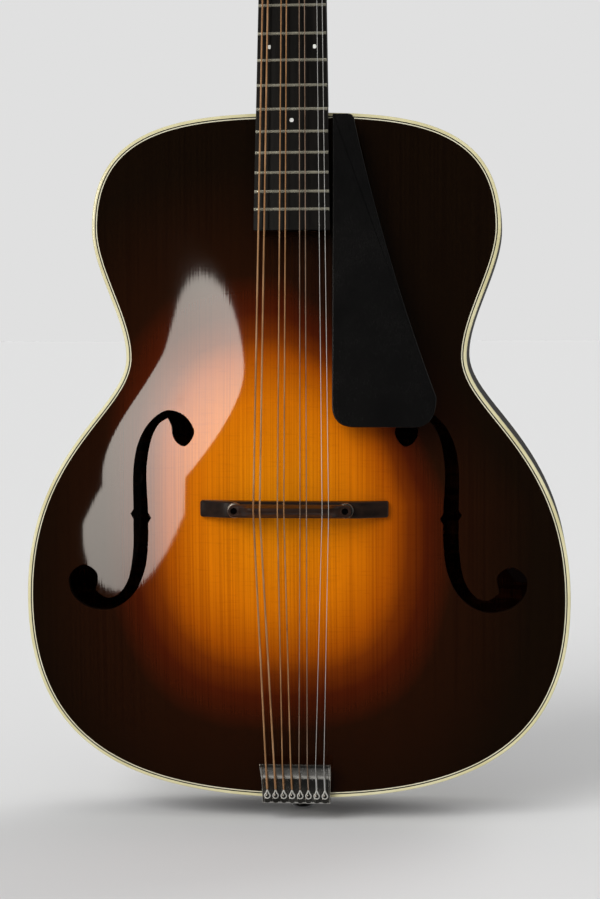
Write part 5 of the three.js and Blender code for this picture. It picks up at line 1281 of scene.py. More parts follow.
@dataclass(frozen=True)
class Setting:
    """How the neck and the headstock are set on the body, and the fingerboard's sizes.

    Args:
        scale: From the bridge line to the nut.
        angle: How far the neck leans back.
        head_angle: How far the headstock leans back from the neck.
        plane_at_joint: Height of the fret tops where the neck meets the body.
        board: Thickness of the fingerboard in its middle.
        fret: Height of the frets.
        shoulder: The body's end.
        nut: Thickness of the nut.
        board_length: Length of the fingerboard.
        board_widths: Its widths at the nut and at its end.
        board_radius: Radius of its rounded face.
        fit: Gap between pieces that seat on each other.
    """

    scale: float = 571.5
    angle: float = math.radians(4)
    head_angle: float = math.radians(14)
    plane_at_joint: float = 17.5
    board: float = 6.35
    fret: float = 1.0
    shoulder: float = 254.7
    nut: float = 5.5
    board_length: float = 394.0
    board_widths: Pair = (33.8, 48.9)
    board_radius: float = 400.0
    fit: float = FIT

    @property
    def glue(self) -> float:
        """Height of the glue plane under the nut."""
        under = self.plane_at_joint - self.board - self.fret
        return under - math.tan(self.angle) * (self.scale - self.shoulder)

    @property
    def neck(self) -> Points:
        """From the neck's own frame to the bench."""
        return shift(0, self.scale, self.glue) @ turn("X", -self.angle)

    @property
    def head(self) -> Points:
        """From the headstock's own frame to the bench."""
        return self.neck @ shift(0, self.nut + self.fit, 0) @ turn("X", -self.head_angle)

    @property
    def joint(self) -> float:
        """Way along the neck from the nut to the body."""
        return (self.scale - self.shoulder) / math.cos(self.angle)

    def half(self, along: float | Points) -> float | Points:
        """Half the fingerboard's width at a way from the nut."""
        return mix(self.board_widths[0], self.board_widths[1], np.asarray(along) / self.board_length) / 2

    def crown(self, x: float | Points) -> float | Points:
        """Height of the fingerboard's round face: its circle's height at a way off the middle."""
        return self.board - self.board_radius + np.sqrt(self.board_radius**2 - np.asarray(x) ** 2)

    def fret_place(self, number: float | Points) -> float | Points:
        """Way from the nut: the scale times one minus two to the power of minus the number by twelve."""
        return self.scale * (1 - 2 ** (-np.asarray(number) / 12))


def screw(radius: float, height: float, slot: float = 0.55) -> tuple[Points, Points]:
    """Skins of a slotted round screw head: two rounded halves with the slot between them. Each half's
    height falls off from its middle as a shallow dome.

    Args:
        radius: Radius of the head.
        height: Its height.
        slot: Width of the slot.

    Returns:
        The rings of the two halves, standing on height 0.
    """
    start = math.asin(slot / 2 / radius)
    angle = np.linspace(start, math.pi - start, 20)
    rim = np.stack([radius * np.cos(angle), radius * np.sin(angle)], -1)
    levels = np.array([(1, 0), (1, 0.45), (0.93, 0.75), (0.7, 0.93), (0.35, 1)])
    centre = np.array([0, slot / 2])
    flat = centre + (rim - centre)[None] * levels[:, None, :1]
    first = lifted(flat, np.broadcast_to(height * levels[:, None, 1], flat.shape[:2]))
    return first, first * (-1, -1, 1)


@dataclass
class Neck(SubAssembly):
    """Neck with its heel, tongue and headstock, the fingerboard, frets and dots, and the truss rod's cover.

    Args:
        setting: How the neck is set.
        depth: The rim's depth, which the heel reaches.
        plate: Thickness of the headstock's face.
        head: Thickness of the headstock's wood.
        grip: Depth of the neck behind its glue plane, at the nut and at the body.
        roundness: Power that makes the neck's back fuller than a half round.
        heel_wide: Half width of the heel at its cap.
        heel_long: Length of the heel at its cap and at its top.
        heel_curve: Power of the heel's flare.
        heel_cap: Thickness of the cap.
        pocket: Two corners of the pocket round the truss rod's nut, in the neck's frame.
        frets: How many frets there are.
        fret_half: Half the width of a fret's crown.
        dots: Fret number and distance from the middle of each dot.
        dot: Radius of the dots in the face and of those on the edge.
    """

    setting: Setting = Setting()
    depth: float = 86.0
    plate: float = 1.8
    head: float = 15.0
    grip: Pair = (14.5, 17.0)
    roundness: float = 0.75
    heel_wide: float = 12.5
    heel_long: Pair = (16.0, 58.0)
    heel_curve: float = 2.4
    heel_cap: float = 2.75
    pocket: tuple[Triple, Triple] = ((-4.4, 8.4, -10.8), (4.4, 23.0, 8.0))
    frets: int = 19
    fret_half: float = 0.95
    dots: tuple[tuple[int, float], ...] = ((5, 0), (7, 0), (10, 0), (12, -14.4), (12, 14.4), (15, 0))
    dot: Pair = (1.35, 0.85)

    def section(self, y: float, half: float, depth: float, top: float, rise: float) -> Points:
        """One ring of the neck: its back is a flattened half round, whose half width and depth follow the
        cosine and sine to a power; its flat face rises into the fingerboard's foot."""
        angle = np.linspace(0, math.pi, 37)
        swell = np.abs(np.cos(angle)) ** self.roundness * np.sign(np.cos(angle))
        low = top - (depth + top) * np.sin(angle) ** self.roundness
        back = np.stack([half * swell, y + 0 * angle, low], -1)
        inner = half - 1.4
        face = np.array([(-inner, y, top + rise), (0, y, top + rise), (inner, y, top + rise)])
        return np.vstack([back, face])

    def shaft(self) -> Points:
        """Rings of the neck from inside the headstock to the body."""
        s = self.setting
        wood_top = -self.plate - s.fit
        half = float(s.half(0))
        step = s.nut - self.plate * math.sin(s.head_angle)
        deep = self.head - wood_top - s.fit
        thin, thick = self.grip
        low, high = 0.2, 1.5
        rings = [
            moved(self.section(8, half, deep, wood_top - s.fit, low), s.head),
            moved(self.section(step, half, thin, wood_top - s.fit, low), s.neck),
            moved(self.section(step - 0.15, half, thin, -s.fit, low), s.neck),
        ]
        end = s.joint - s.fit - thick * math.sin(s.angle)
        for share in np.linspace(0, 1, 25):
            along = end * share
            ring = self.section(-along, float(s.half(along)), mix(thin, thick, share), -s.fit, high)
            rings.append(moved(ring, s.neck))
        return np.array(rings)

    def heel_section(self, share: Points) -> tuple[Points, Points]:
        """Half width and length of the heel at a share of the way down: both shrink with one minus the
        share, to a power."""
        flare = (1 - np.asarray(share)) ** self.heel_curve
        wide = float(self.setting.half(self.setting.joint)) * 0.93
        return mix(self.heel_wide, wide, flare), mix(*self.heel_long, flare)

    def heel(self) -> Points:
        """Rings of the heel: half ellipses that stand on the body's end."""
        s = self.setting
        top = s.plane_at_joint - s.board - s.fret - 8.5
        share = np.linspace(0, 1, 40)
        wide, long = self.heel_section(share)
        angle = np.linspace(0, math.pi, 41)
        height = mix(top, 2.5 + s.fit - self.depth, share)
        x, y = wide[:, None] * np.cos(angle), s.shoulder + s.fit + long[:, None] * np.sin(angle)
        return np.stack([x, y, np.broadcast_to(height[:, None], x.shape)], -1)

    def wood(self) -> None:
        """Shaft and heel, grown together through small cubes and smoothed, and the tongue under the board."""
        s = self.setting
        draft = Draft().skin(self.shaft()).skin(self.heel())
        piece = self.shaped("neck_and_heel", draft, Finish.NECK)
        remesh = piece.modifiers.new("grown_together", "REMESH")
        remesh.mode = "VOXEL"
        remesh.voxel_size = 0.85 * MM
        soften = piece.modifiers.new("sanded", "SMOOTH")
        soften.factor = 0.5
        soften.iterations = 7
        settled(piece)
        pocket = Draft().skin(moved(block(*self.pocket), s.neck))
        hollowed(piece, pocket, self.bench, crease=60, crossing=False)
        fitted_to(piece, "instrument", "lacquered_neck", "neck")
        ends = []
        high, low = 0.2, -6.6
        for along in (s.joint - 4, s.board_length):
            wide = float(s.half(along)) - 0.8
            corners = [(-wide, -along, high), (wide, -along, high), (wide, -along, low), (-wide, -along, low)]
            ends.append(moved(np.array(corners), s.neck))
        tongue = self.shaped("fingerboard_support", Draft().skin(np.array(ends)), Finish.NECK)
        fitted_to(tongue, "instrument", "lacquered_neck")
        outline = self.heel()[-1, :, :2]
        cap = Draft().skin(slab(outline, -self.depth, -self.depth + self.heel_cap, 0.6))
        fitted_to(self.shaped("heel_cap_plate", cap, Finish.CAP), "instrument", "ebony", "heel_cap")

    def head_outline(self) -> Points:
        """The headstock's outline: shoulders that swell by a cosine, straight sides, a crowned end."""
        share = np.linspace(0, 1, 22)
        blend = (1 - np.cos(math.pi * share)) / 2
        shoulder = np.stack([mix(float(self.setting.half(0)), 33.5, blend), 24 * share], -1)
        angle = math.pi / 2 * share
        end = np.stack([30 * np.cos(angle), 142 - 7 * (1 - np.sin(angle))], -1)
        right = np.vstack([shoulder, mix(shoulder[-1], end[0], np.linspace(0, 1, 14)[1:-1, None]), end])
        return np.vstack([right, right[-2::-1] * (-1, 1)])

    def headstock(self, posts: Points) -> None:
        """The headstock's wood and its black face, bored for the posts.

        Args:
            posts: Places of the posts in the headstock's frame.
        """
        s = self.setting
        bottom = -self.plate - s.fit - self.head

        def bored(name: str, low: float, high: float, edge: float, finish: Finish) -> Piece:
            """One layer of the headstock with its bores and the truss rod's pocket."""
            rings = moved(slab(self.head_outline(), low, high, edge), s.head)
            layer = self.shaped(name, Draft().skin(rings), finish)
            cutter = Draft().skin(moved(block(*self.pocket), s.neck))
            for x, y in posts:
                cutter.skin(moved(disc(x, y, 3.5, low - 2, high + 2), s.head))
            return hollowed(layer, cutter, self.bench)

        wood = bored("headstock_wood", bottom, -self.plate, 1.1, Finish.NECK)
        fitted_to(wood, "instrument", "lacquered_neck")
        face = bored("headstock_face", -self.plate, 0.0, 0.35, Finish.FACE)
        fitted_to(face, "instrument", "ebony", "headplate")

    def cover(self) -> None:
        """The truss rod's cover, bell-shaped, with three screws."""
        angle = np.linspace(0, math.pi, 33)
        wide = mix(9.0, 4.0, np.sin(angle))
        bell = np.stack([wide * np.cos(angle), 33.5 - 9 * (1 - np.sin(angle))], -1)
        outline = np.vstack([[(-9, 1.5), (9, 1.5)], bell])
        rings = moved(slab(outline, 0.02, 1.9, 0.5), self.setting.head)
        piece = self.shaped("truss_cover_plate", Draft().skin(rings), Finish.GUARD)
        fitted_to(piece, "instrument", "black_plastic", "truss_rod_cover")
        screws = Draft()
        for x, y, lean in ((-6.4, 4.6, 0.5), (6.4, 4.6, 2.2), (0, 29.5, 1.2)):
            for half in screw(1.35, 0.6):
                screws.skin(moved(half, self.setting.head, shift(x, y, 1.85), turn("Z", lean)))
        fitted_to(self.shaped("truss_cover_screws", screws, Finish.NICKEL), "instrument", "nickel")

    def fingerboard(self) -> None:
        """The board: its round face runs from end to end between square edges."""
        s = self.setting
        rows = []
        for along in (s.fit, *np.linspace(20, s.board_length - 20, 12), s.board_length):
            wide = float(s.half(along))
            x = np.linspace(1, -1, 33) * (wide - 0.35)
            top = np.stack([x, s.crown(x)], -1)
            side = float(s.crown(wide)) - 0.35
            ring = np.vstack([[(-wide, 0.0), (wide, 0.0), (wide, side)], top, [(-wide, side)]])
            rows.append(np.stack([ring[:, 0], 0 * ring[:, 0] - along, ring[:, 1]], -1))
        draft = Draft().skin(moved(np.array(rows), s.neck))
        piece = self.shaped("fingerboard_ebony", draft, Finish.BOARD, crease=30)
        fitted_to(piece, "instrument", "ebony", "fingerboard")

    def fret_wires(self) -> None:
        """The frets: each a crown, half an ellipse across, bent over the board; its ends are filed down."""
        s = self.setting
        draft = Draft()
        angle = np.linspace(0, math.pi, 11)
        crown = np.stack([self.fret_half * np.cos(angle), np.sin(angle) * s.fret], -1)
        across = np.r_[-1, -0.985, np.linspace(-0.95, 0.95, 23), 0.985, 1]
        for number in range(1, self.frets + 1):
            along = float(s.fret_place(number))
            wide = float(s.half(along)) - 0.1
            x = across * wide
            filed = np.clip((1 - np.abs(across)) * wide / 0.9, 0.12, 1)
            z = s.crown(x)[:, None] - 0.12 + crown[None, :, 1] * filed[:, None]
            y = -along + crown[None, :, 0] * np.ones_like(filed)[:, None]
            draft.skin(moved(np.stack([x[:, None] + 0 * z, y, z], -1), s.neck))
        piece = self.shaped("fret_wires", draft, Finish.FRET, crease=50)
        fitted_to(piece, "instrument", "nickel")

    def inlays(self) -> None:
        """Shell dots in the face of the board and on its bass edge."""
        s = self.setting
        draft = Draft()
        for number, x in self.dots:
            along = float(s.fret_place(number) + s.fret_place(number - 1)) / 2
            top = float(s.crown(x)) + 0.03
            face, edge = self.dot
            draft.skin(moved(disc(x, -along, face, top - 0.6, top, 0.04), s.neck))
            beside = shift(-float(s.half(along)), -along + 0.28 * x, s.board / 2 - 0.075)
            marker = disc(0, 0, edge, -0.5, 0.03, 0.02, 20)
            draft.skin(moved(marker, s.neck, beside, turn("Y", -math.pi / 2)))
        fitted_to(self.shaped("shell_dots", draft, Finish.SHELL), "instrument", "bone")

    def build(self, posts: Points) -> None:
        """Everything of the neck, round the posts' places."""
        self.wood()
        self.headstock(posts)
        self.cover()
        self.fingerboard()
        self.fret_wires()
        self.inlays()
        self.palette.coat(Finish.BONE, "nut")
        self.palette.coat(Finish.STEEL, "truss_rod")
        self.palette.coat(Finish.BRASS, "truss_rod_nut")


# Tuning machines


@dataclass
class TuningMachines(SubAssembly):
    """Eight open machines, four on a plate each side: a button turns a worm, which turns a toothed gear
    and the string's post above it.

    Args:
        setting: How the headstock is set.
        spread: Distance of the posts from the headstock's middle.
        first: Way from the nut to the first post.
        pitch: Way from one post to the next.
        post: Radius of the posts.
        post_top: Height of the posts' ends.
        teeth: How many teeth a gear has.
        module: The gears' pitch diameter for each tooth.
        gear: Thickness of the gears.
        worm: Pitch radius of the worms.
        turns: Turns of a worm's thread.
        worm_height: Height of the worms' axes.
        button_start: Way along the shaft to the button.
        button: Length and radius of a button.
        backlash: Play between worm and gear.
    """

    setting: Setting = Setting()
    spread: float = 21.5
    first: float = 38.0
    pitch: float = 23.0
    post: float = 3.0
    post_top: float = 12.5
    teeth: int = 14
    module: float = 0.7
    gear: float = 3.0
    worm: float = 2.5
    turns: int = 3
    worm_height: float = -22.4
    button_start: float = 14.6
    button: Pair = (15.0, 7.0)
    backlash: float = 0.24

    @property
    def centres(self) -> float:
        """Way from a post's axis to its worm's axis."""
        return self.module * self.teeth / 2 + self.worm

    @property
    def tooth(self) -> Pair:
        """Half a tooth's width at its tip and at its root: a quarter of the thread's pitch less half the
        play, less or plus the tooth's reach times the tangent of its 20 degree flank."""
        half = (math.pi * self.module - self.backlash) / 4
        flank = math.tan(math.radians(20)) * self.module
        return half - flank, half + 1.25 * flank

    def place(self, side: Side, number: int) -> Pair:
        """Where a post stands in the headstock's frame; number 0 is nearest the nut."""
        return side.value * self.spread, self.first + self.pitch * number

    def places(self) -> Points:
        """All the posts' places."""
        return np.array([self.place(side, number) for side in Side for number in range(4)])

    def gear_rings(self) -> Points:
        """A gear standing on its axis. Its teeth lean with the worm's thread, and their tips are eased at
        both faces."""
        tip_half, root_half = self.tooth
        pitch_radius = self.module * self.teeth / 2
        tip, root = pitch_radius + self.module, pitch_radius - 1.25 * self.module
        shape = [
            (root, -root_half / pitch_radius),
            (mix(root, tip, 0.55), -mix(root_half, tip_half, 0.45) / mix(pitch_radius, tip, 0.3)),
            (tip, -tip_half / tip),
            (tip, 0),
            (tip, tip_half / tip),
            (mix(root, tip, 0.55), mix(root_half, tip_half, 0.45) / mix(pitch_radius, tip, 0.3)),
            (root, root_half / pitch_radius),
        ]
        radius, angle = np.array(shape).T
        heights = np.array([-0.5, -0.42, 0.42, 0.5]) * self.gear
        eased = np.array([0.35, 0, 0, 0.35])
        lean = math.pi * self.module / (2 * math.pi * self.worm) / pitch_radius
        middle = math.pi / 2 + 2 * math.pi * (np.arange(self.teeth) + 0.5) / self.teeth
        around = middle[None, :, None] + angle[None, None, :] + lean * heights[:, None, None]
        out = np.minimum(radius[None, None, :], tip - eased[:, None, None]) + 0 * around
        level = heights[:, None, None] + 0 * around
        rings = np.stack([out * np.cos(around), out * np.sin(around), level], -1)
        return rings.reshape(len(heights), -1, 3)

    def post_rings(self) -> Points:
        """A post with its collar, its domed end and the gear's screw below."""
        foot = self.worm_height - self.gear / 2
        rows = [
            (0.9, foot - 1.2), (2.05, foot - 1.0), (2.4, foot - 0.7), (2.4, foot),
            (self.post - 0.1, foot + 0.15), (self.post, foot + 0.3), (self.post, 0.3), (4.2, 0.3),
            (4.4, 0.5), (4.4, 1.2), (4.1, 1.5), (3.35, 1.6), (self.post, 1.9), (self.post, 5.0),
            (2.72, 5.9), (2.66, 7.4), (2.72, 8.9), (self.post, 9.8), (self.post, self.post_top - 0.5),
            (2.8, self.post_top - 0.15), (2.3, self.post_top),
        ]
        return lathe(np.array(rows), 36)

    def worm_rings(self) -> Points:
        """Worm, shaft and button in one skin along X. The thread's radius at a way along and an angle
        falls from tip to root with the distance to the nearest ridge, in pitches: the way over the pitch
        less the angle over a full turn. The ridge runs out at both ends. The button is flattened."""
        tip_half, root_half = self.tooth
        pitch = math.pi * self.module
        root, tip = self.worm - 1.25 * self.module, self.worm + self.module
        angle = 2 * math.pi * np.arange(40) / 40
        reach = pitch * self.turns / 2 + root_half
        way = np.r_[-5.85, -5.55, -reach - 0.02, np.linspace(-reach, reach, 90), reach + 0.02]
        turned = angle[None] / (2 * math.pi)
        near = (way[:, None] / pitch - turned + self.turns / 2) % 1
        gap = np.minimum(near, 1 - near) * pitch
        passed = way[:, None] / pitch + self.turns / 2
        run_out = np.clip(np.minimum(passed, self.turns - passed) * 4, 0, 1)
        ridge = np.clip((root_half - gap) / (root_half - tip_half), 0, 1)
        radius = root + (tip - root) * ridge * run_out
        radius[0] -= 0.3
        long, wide = self.button
        start = self.button_start
        profile = np.array(
            [
                (start - 0.02, root, 1.0), (start, 2.3, 1.0), (start + 0.3, 2.7, 1.0),
                (start + 1.3, 2.75, 0.95), (start + 0.16 * long, wide * 0.42, 0.85),
                (start + 0.26 * long, wide * 0.66, 0.68), (start + 0.38 * long, wide * 0.88, 0.62),
                (start + 0.52 * long, wide * 0.99, 0.61), (start + 0.68 * long, wide * 0.985, 0.6),
                (start + 0.84 * long, wide * 0.85, 0.6), (start + 0.94 * long, wide * 0.62, 0.6),
                (start + 0.985 * long, wide * 0.36, 0.6), (start + long, wide * 0.1, 0.6),
            ]
        )
        body = smooth_path(profile[3:], 40)
        rows = np.vstack([profile[:3], body])
        way = np.r_[way, rows[:, 0]]
        radius = np.vstack([radius, np.repeat(rows[:, 1:2], len(angle), 1)])
        flat = np.r_[np.ones(len(way) - len(rows)), rows[:, 2]][:, None]
        y, z = radius * np.cos(angle), radius * flat * np.sin(angle)
        return np.stack([way[:, None] + 0 * radius, y, z], -1)

    def string_post(self, tag: str, at: Points, height: float, aim: float) -> None:
        """One post with its gear: a hole across it for the string, and a slot in the gear's screw.

        Args:
            tag: Side and number.
            at: Place of the post.
            height: Height of the string's hole.
            aim: Direction of the hole.
        """
        draft = Draft().skin(moved(self.post_rings(), at), 0)
        draft.skin(moved(self.gear_rings() + (0, 0, self.worm_height), at), 1)
        piece = self.shaped(f"string_post_{tag}", draft, Finish.NICKEL, Finish.WORN_NICKEL)
        hole = tube(np.array([(-6, 0, 0), (6, 0, 0.0)]), 0.72, 14, np.array((0, 0, 1.0)))
        cutter = Draft().skin(moved(hole, at, shift(0, 0, height), turn("Z", aim)))
        foot = self.worm_height - self.gear / 2 - 1.3
        slit = block((-3, -0.35, foot), (3, 0.35, foot + 0.75))
        hollowed(piece, cutter.skin(moved(slit, at, turn("Z", aim + 0.6))), self.bench)
        fitted_to(piece, f"post_{tag}", "nickel", f"tuner_post_{tag}")

    def screws(self, side: Side) -> None:
        """The screws of one side's plate: the gears' row and the two at its foot."""
        draft = Draft()
        back = -1.8 - 0.3 - 15 - 0.3 - 1.5
        spots = [(0, 30.3), (0, 52), (0, 75), (0, 98), (-7.3, 117.2), (7.3, 117.2)]
        for index, (dx, y) in enumerate(spots):
            at = shift(side.value * self.spread + dx, y, back + 0.02)
            for half in screw(1.6, 0.8):
                draft.skin(moved(half, self.setting.head, at, turn("X", math.pi), turn("Z", index * 1.3)))
        piece = self.shaped(f"machine_screws_{side.label}", draft, Finish.NICKEL)
        fitted_to(piece, "instrument", "nickel")

    def build(self, endings: dict[tuple[Side, int], Pair]) -> None:
        """All eight machines and the plates' screws.

        Args:
            endings: Height and direction of each string's end, for the hole across its post.
        """
        head = self.setting.head
        for side in Side:
            facing = turn("Y", math.pi) if side is Side.BASS else np.eye(4)
            for number in range(4):
                x, y = self.place(side, number)
                tag = f"{side.label}_{number + 1}"
                self.string_post(tag, head @ shift(x, y, 0), *endings[side, number])
                worm = shift(x, y + self.centres, self.worm_height)
                draft = Draft().skin(moved(self.worm_rings(), head, worm, facing))
                piece = self.shaped(f"worm_button_{tag}", draft, Finish.NICKEL, crease=44)
                fitted_to(piece, f"button_{tag}", "nickel", f"tuner_button_{tag}")
            self.screws(side)
        self.palette.coat(Finish.WORN_NICKEL, *(f"tuner_plate_{side.label}" for side in Side))


# Strings


@dataclass
class Strings(SubAssembly):
    """Eight strings: a loop on its peg, the run over the tailpiece's lip, saddle and nut, and the winding
    on its post.

    Args:
        machines: The tuning machines that they wind on.
        setting: How the neck is set.
        saddle_gap: Half the distance between the strings of a pair at the saddle.
        nut_gap: The same at the nut.
        tail_pitch: Distance between strings on the tailpiece.
        saddle_height: Height of the strings' lower sides at the saddle.
        lip: Y and height of the tailpiece's lip.
        peg: Y and height of the loops round the pegs.
        loop: Radius of the loop's curve and of its wire.
        loop_tip: Y where a loop's two sides meet.
        wound_from: Height of a winding's first turn, and how many turns it has.
    """

    machines: TuningMachines
    setting: Setting = Setting()
    saddle_gap: float = 2.05
    nut_gap: float = 1.4
    tail_pitch: float = 5.4
    saddle_height: float = 39.228
    lip: Pair = (-168.6, 13.5)
    peg: Pair = (-189.2, 6.12)
    loop: Pair = (1.72, 0.42)
    loop_tip: float = -184.6
    wound_from: tuple[float, int] = (9.4, 2)

    def finish(self, course: Course) -> Finish:
        """The finish of a course."""
        return Finish[f"{course.name.upper()}_STRING"]

    def slot(self, course: Course) -> str:
        """The record's slot of a course."""
        return "bronze_string" if course.bronze else "steel_string"

    def laid(self) -> list[tuple[Course, int, Side, int, float]]:
        """Course, member, side, post number and tail X of each string, from the lowest."""
        rows = []
        for order in range(8):
            side = Side.BASS if order < 4 else Side.TREBLE
            number = order if order < 4 else 7 - order
            rows.append((COURSES[order // 2], order % 2, side, number, self.tail_pitch * (order - 3.5)))
        return rows

    def nut_point(self, course: Course, member: int) -> Points:
        """Where a string crosses the nut, in the neck's frame."""
        s = self.setting
        x = course.nut_x + (2 * member - 1) * self.nut_gap
        return np.array([x, s.nut - s.fit, float(s.crown(x)) + s.fret + 0.5 + course.radius])

    def saddle_point(self, course: Course, member: int) -> Points:
        """Where a string crosses the saddle, on the bench."""
        x = course.saddle_x + (2 * member - 1) * self.saddle_gap
        return np.array([x, 0, self.saddle_height + course.radius])

    def approach(
        self, course: Course, member: int, side: Side, number: int
    ) -> tuple[Points, Points, float, float]:
        """How a string comes to its post, in the headstock's frame: the tangent from the nut to the
        winding's circle, whose bearing is the post's, turned by the arc sine of radius over distance.

        Returns:
            Nut point, direction, winding radius, and angle of the place where it touches.
        """
        nut = moved(self.nut_point(course, member), np.linalg.inv(self.setting.head) @ self.setting.neck)
        to_post = np.array(self.machines.place(side, number)) - nut[:2]
        radius = self.machines.post + course.radius + 0.06
        off = side.value * math.asin(radius / np.linalg.norm(to_post))
        bearing = math.atan2(to_post[1], to_post[0]) + off
        along = np.array([math.cos(bearing), math.sin(bearing)])
        out = np.array([along[1], -along[0]]) * -side.value
        return nut, along, radius, math.atan2(out[1], out[0])

    def endings(self) -> dict[tuple[Side, int], Pair]:
        """Height and direction of each string's end in its post."""
        result = {}
        for course, member, side, number, _ in self.laid():
            _, _, _, start = self.approach(course, member, side, number)
            top, turns = self.wound_from
            result[side, number] = (top - turns * (2 * course.radius + 0.5), start)
        return result

    def wire(
        self, draft: Draft, path: Points, radius: float | Points, reference: Triple, finish: int = 0
    ) -> None:
        """Adds a tube whose along attribute is the way along it in millimetres."""
        way = np.r_[0, np.cumsum(np.linalg.norm(np.diff(path, axis=0), axis=1))]
        draft.skin(tube(path, radius, 10, np.array(reference, float)), finish, along=way[:, None])

    def span(
        self, name: str, course: Course, start: Points, end: Points, count: int, node: str | None
    ) -> None:
        """A straight run between the instrument, at its start, and the saddle, at its end.

        Args:
            name: The piece's name.
            course: Its course.
            start: Bench point fixed to the instrument.
            end: Bench point at the saddle.
            count: Points along it.
            node: The CAD node that it stands for.
        """
        path = mix(start[None], end[None], np.linspace(0, 1, count)[:, None])
        draft = Draft()
        self.wire(draft, path, course.radius, (0, 0, 1))
        piece = self.shaped(name, draft, self.finish(course), crease=70)
        first, last = (Vector(self.bench.row(point)) for point in (start, end))
        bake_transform(piece)
        if node:
            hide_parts(node)
        LOG.info("%s: %d faces, bends to the saddle", name, len(piece.data.polygons))

    def anchor(self, draft: Draft, course: Course, tail_x: float, lip: Points) -> None:
        """The loop round the peg, its twisted neck, and the run up to the lip: a teardrop whose sides are
        blended by a cosine from the circle round the peg to the tip."""
        inner, wire = self.loop
        peg_y, z = self.peg
        angle = np.linspace(-0.5, 0.5, 25) * 2 * math.pi * 0.84 - math.pi / 2
        ring = np.stack([tail_x + inner * np.cos(angle), peg_y + inner * np.sin(angle), z + 0 * angle], -1)
        tip = np.array([tail_x, self.loop_tip - 0.2, z + wire * 0.5])
        share = np.linspace(0, 1, 9)[1:, None]
        blend = (1 - np.cos(math.pi * share)) / 2
        last = mix(ring[-1], tip, share)
        last[:, 0] = mix(ring[-1, 0], tip[0], blend[:, 0])
        first = last * (-1, 1, 1) + (2 * tail_x, 0, 0)
        path = np.vstack([first[::-1], ring, last])
        self.wire(draft, path, wire, (0, 0, 1), 1)
        start = np.array([tail_x, self.loop_tip - 0.4, z + wire + 0.05])
        direction = lip - start
        neck = mix(start[None], (start + direction * 0.52)[None], np.linspace(0, 1, 20)[:, None])
        thick = max(course.radius + 0.14, 0.5)
        self.wire(draft, neck, np.r_[0.45, np.full(18, thick), 0.45], (1, 0, 0))

    def build(self) -> None:
        """Every string in its parts."""
        s = self.setting
        for course, member, side, number, tail_x in self.laid():
            tag = f"{course.name}{member + 1}"
            saddle = self.saddle_point(course, member)
            nut = moved(self.nut_point(course, member), s.neck)
            lip = np.array([tail_x, self.lip[0], self.lip[1] + course.radius])
            self.span(f"speaking_length_{tag}", course, nut, saddle, 72, f"string_{tag}")
            self.span(f"after_length_{tag}", course, lip, saddle, 24, None)
            nut_in_head, along, radius, angle = self.approach(course, member, side, number)
            post = np.array(self.machines.place(side, number))
            top, _ = self.wound_from
            touch = np.array([*(post + radius * np.array([math.cos(angle), math.sin(angle)])), top])
            clear = math.sqrt((radius + 2 * course.radius + 0.3) ** 2 - radius**2)
            share = clear / float(np.linalg.norm(touch - nut_in_head))
            end = np.array([*(touch[:2] - along * clear), mix(top, nut_in_head[2], share)])
            draft = Draft()
            past_nut = moved(mix(nut_in_head, end, np.linspace(0, 1, 8)[1:, None]), s.head)
            self.wire(draft, np.vstack([nut[None], past_nut]), course.radius, (1, 0, 0))
            foot = np.array([tail_x, self.loop_tip - 0.3, self.peg[1] + self.loop[1]])
            to_lip = mix(foot, lip, np.linspace(0, 1, 6)[:, None])
            self.wire(draft, to_lip, course.radius, (1, 0, 0))
            self.anchor(draft, course, tail_x, lip)
            piece = self.shaped(f"string_ends_{tag}", draft, self.finish(course), Finish.LOOP, crease=70)
            fitted_to(piece, "instrument", self.slot(course))
            self.coil(course, side, number, along, radius, angle)

    def coil(
        self, course: Course, side: Side, number: int, along: Points, radius: float, start: float
    ) -> None:
        """A winding: it starts where the run ends, goes down round the post and into its hole."""
        top, turns = self.wound_from
        pitch = 2 * course.radius + 0.5
        share = np.linspace(0, 1, 24 * turns + 1) * turns
        angle = start - side.value * 2 * math.pi * share
        helix = np.stack([radius * np.cos(angle), radius * np.sin(angle), top - pitch * share], -1)
        lead = helix[0] - np.array([*along, 0]) * np.array([[1.0], [0.5]])
        inside = helix[-1] * (0.82, 0.82, 1), helix[-1] * (0.3, 0.3, 1), helix[-1] * (-1.15, -1.15, 1)
        path = np.vstack([lead, helix, *inside])
        tag = f"{side.label}_{number + 1}"
        head = self.setting.head
        draft = Draft()
        path = moved(path, head @ shift(*self.machines.place(side, number), 0))
        self.wire(draft, path, course.radius, head[:3, 2])
        piece = self.shaped(f"winding_{tag}", draft, self.finish(course), crease=70)
        fitted_to(piece, f"post_{tag}", self.slot(course))


# Bridge


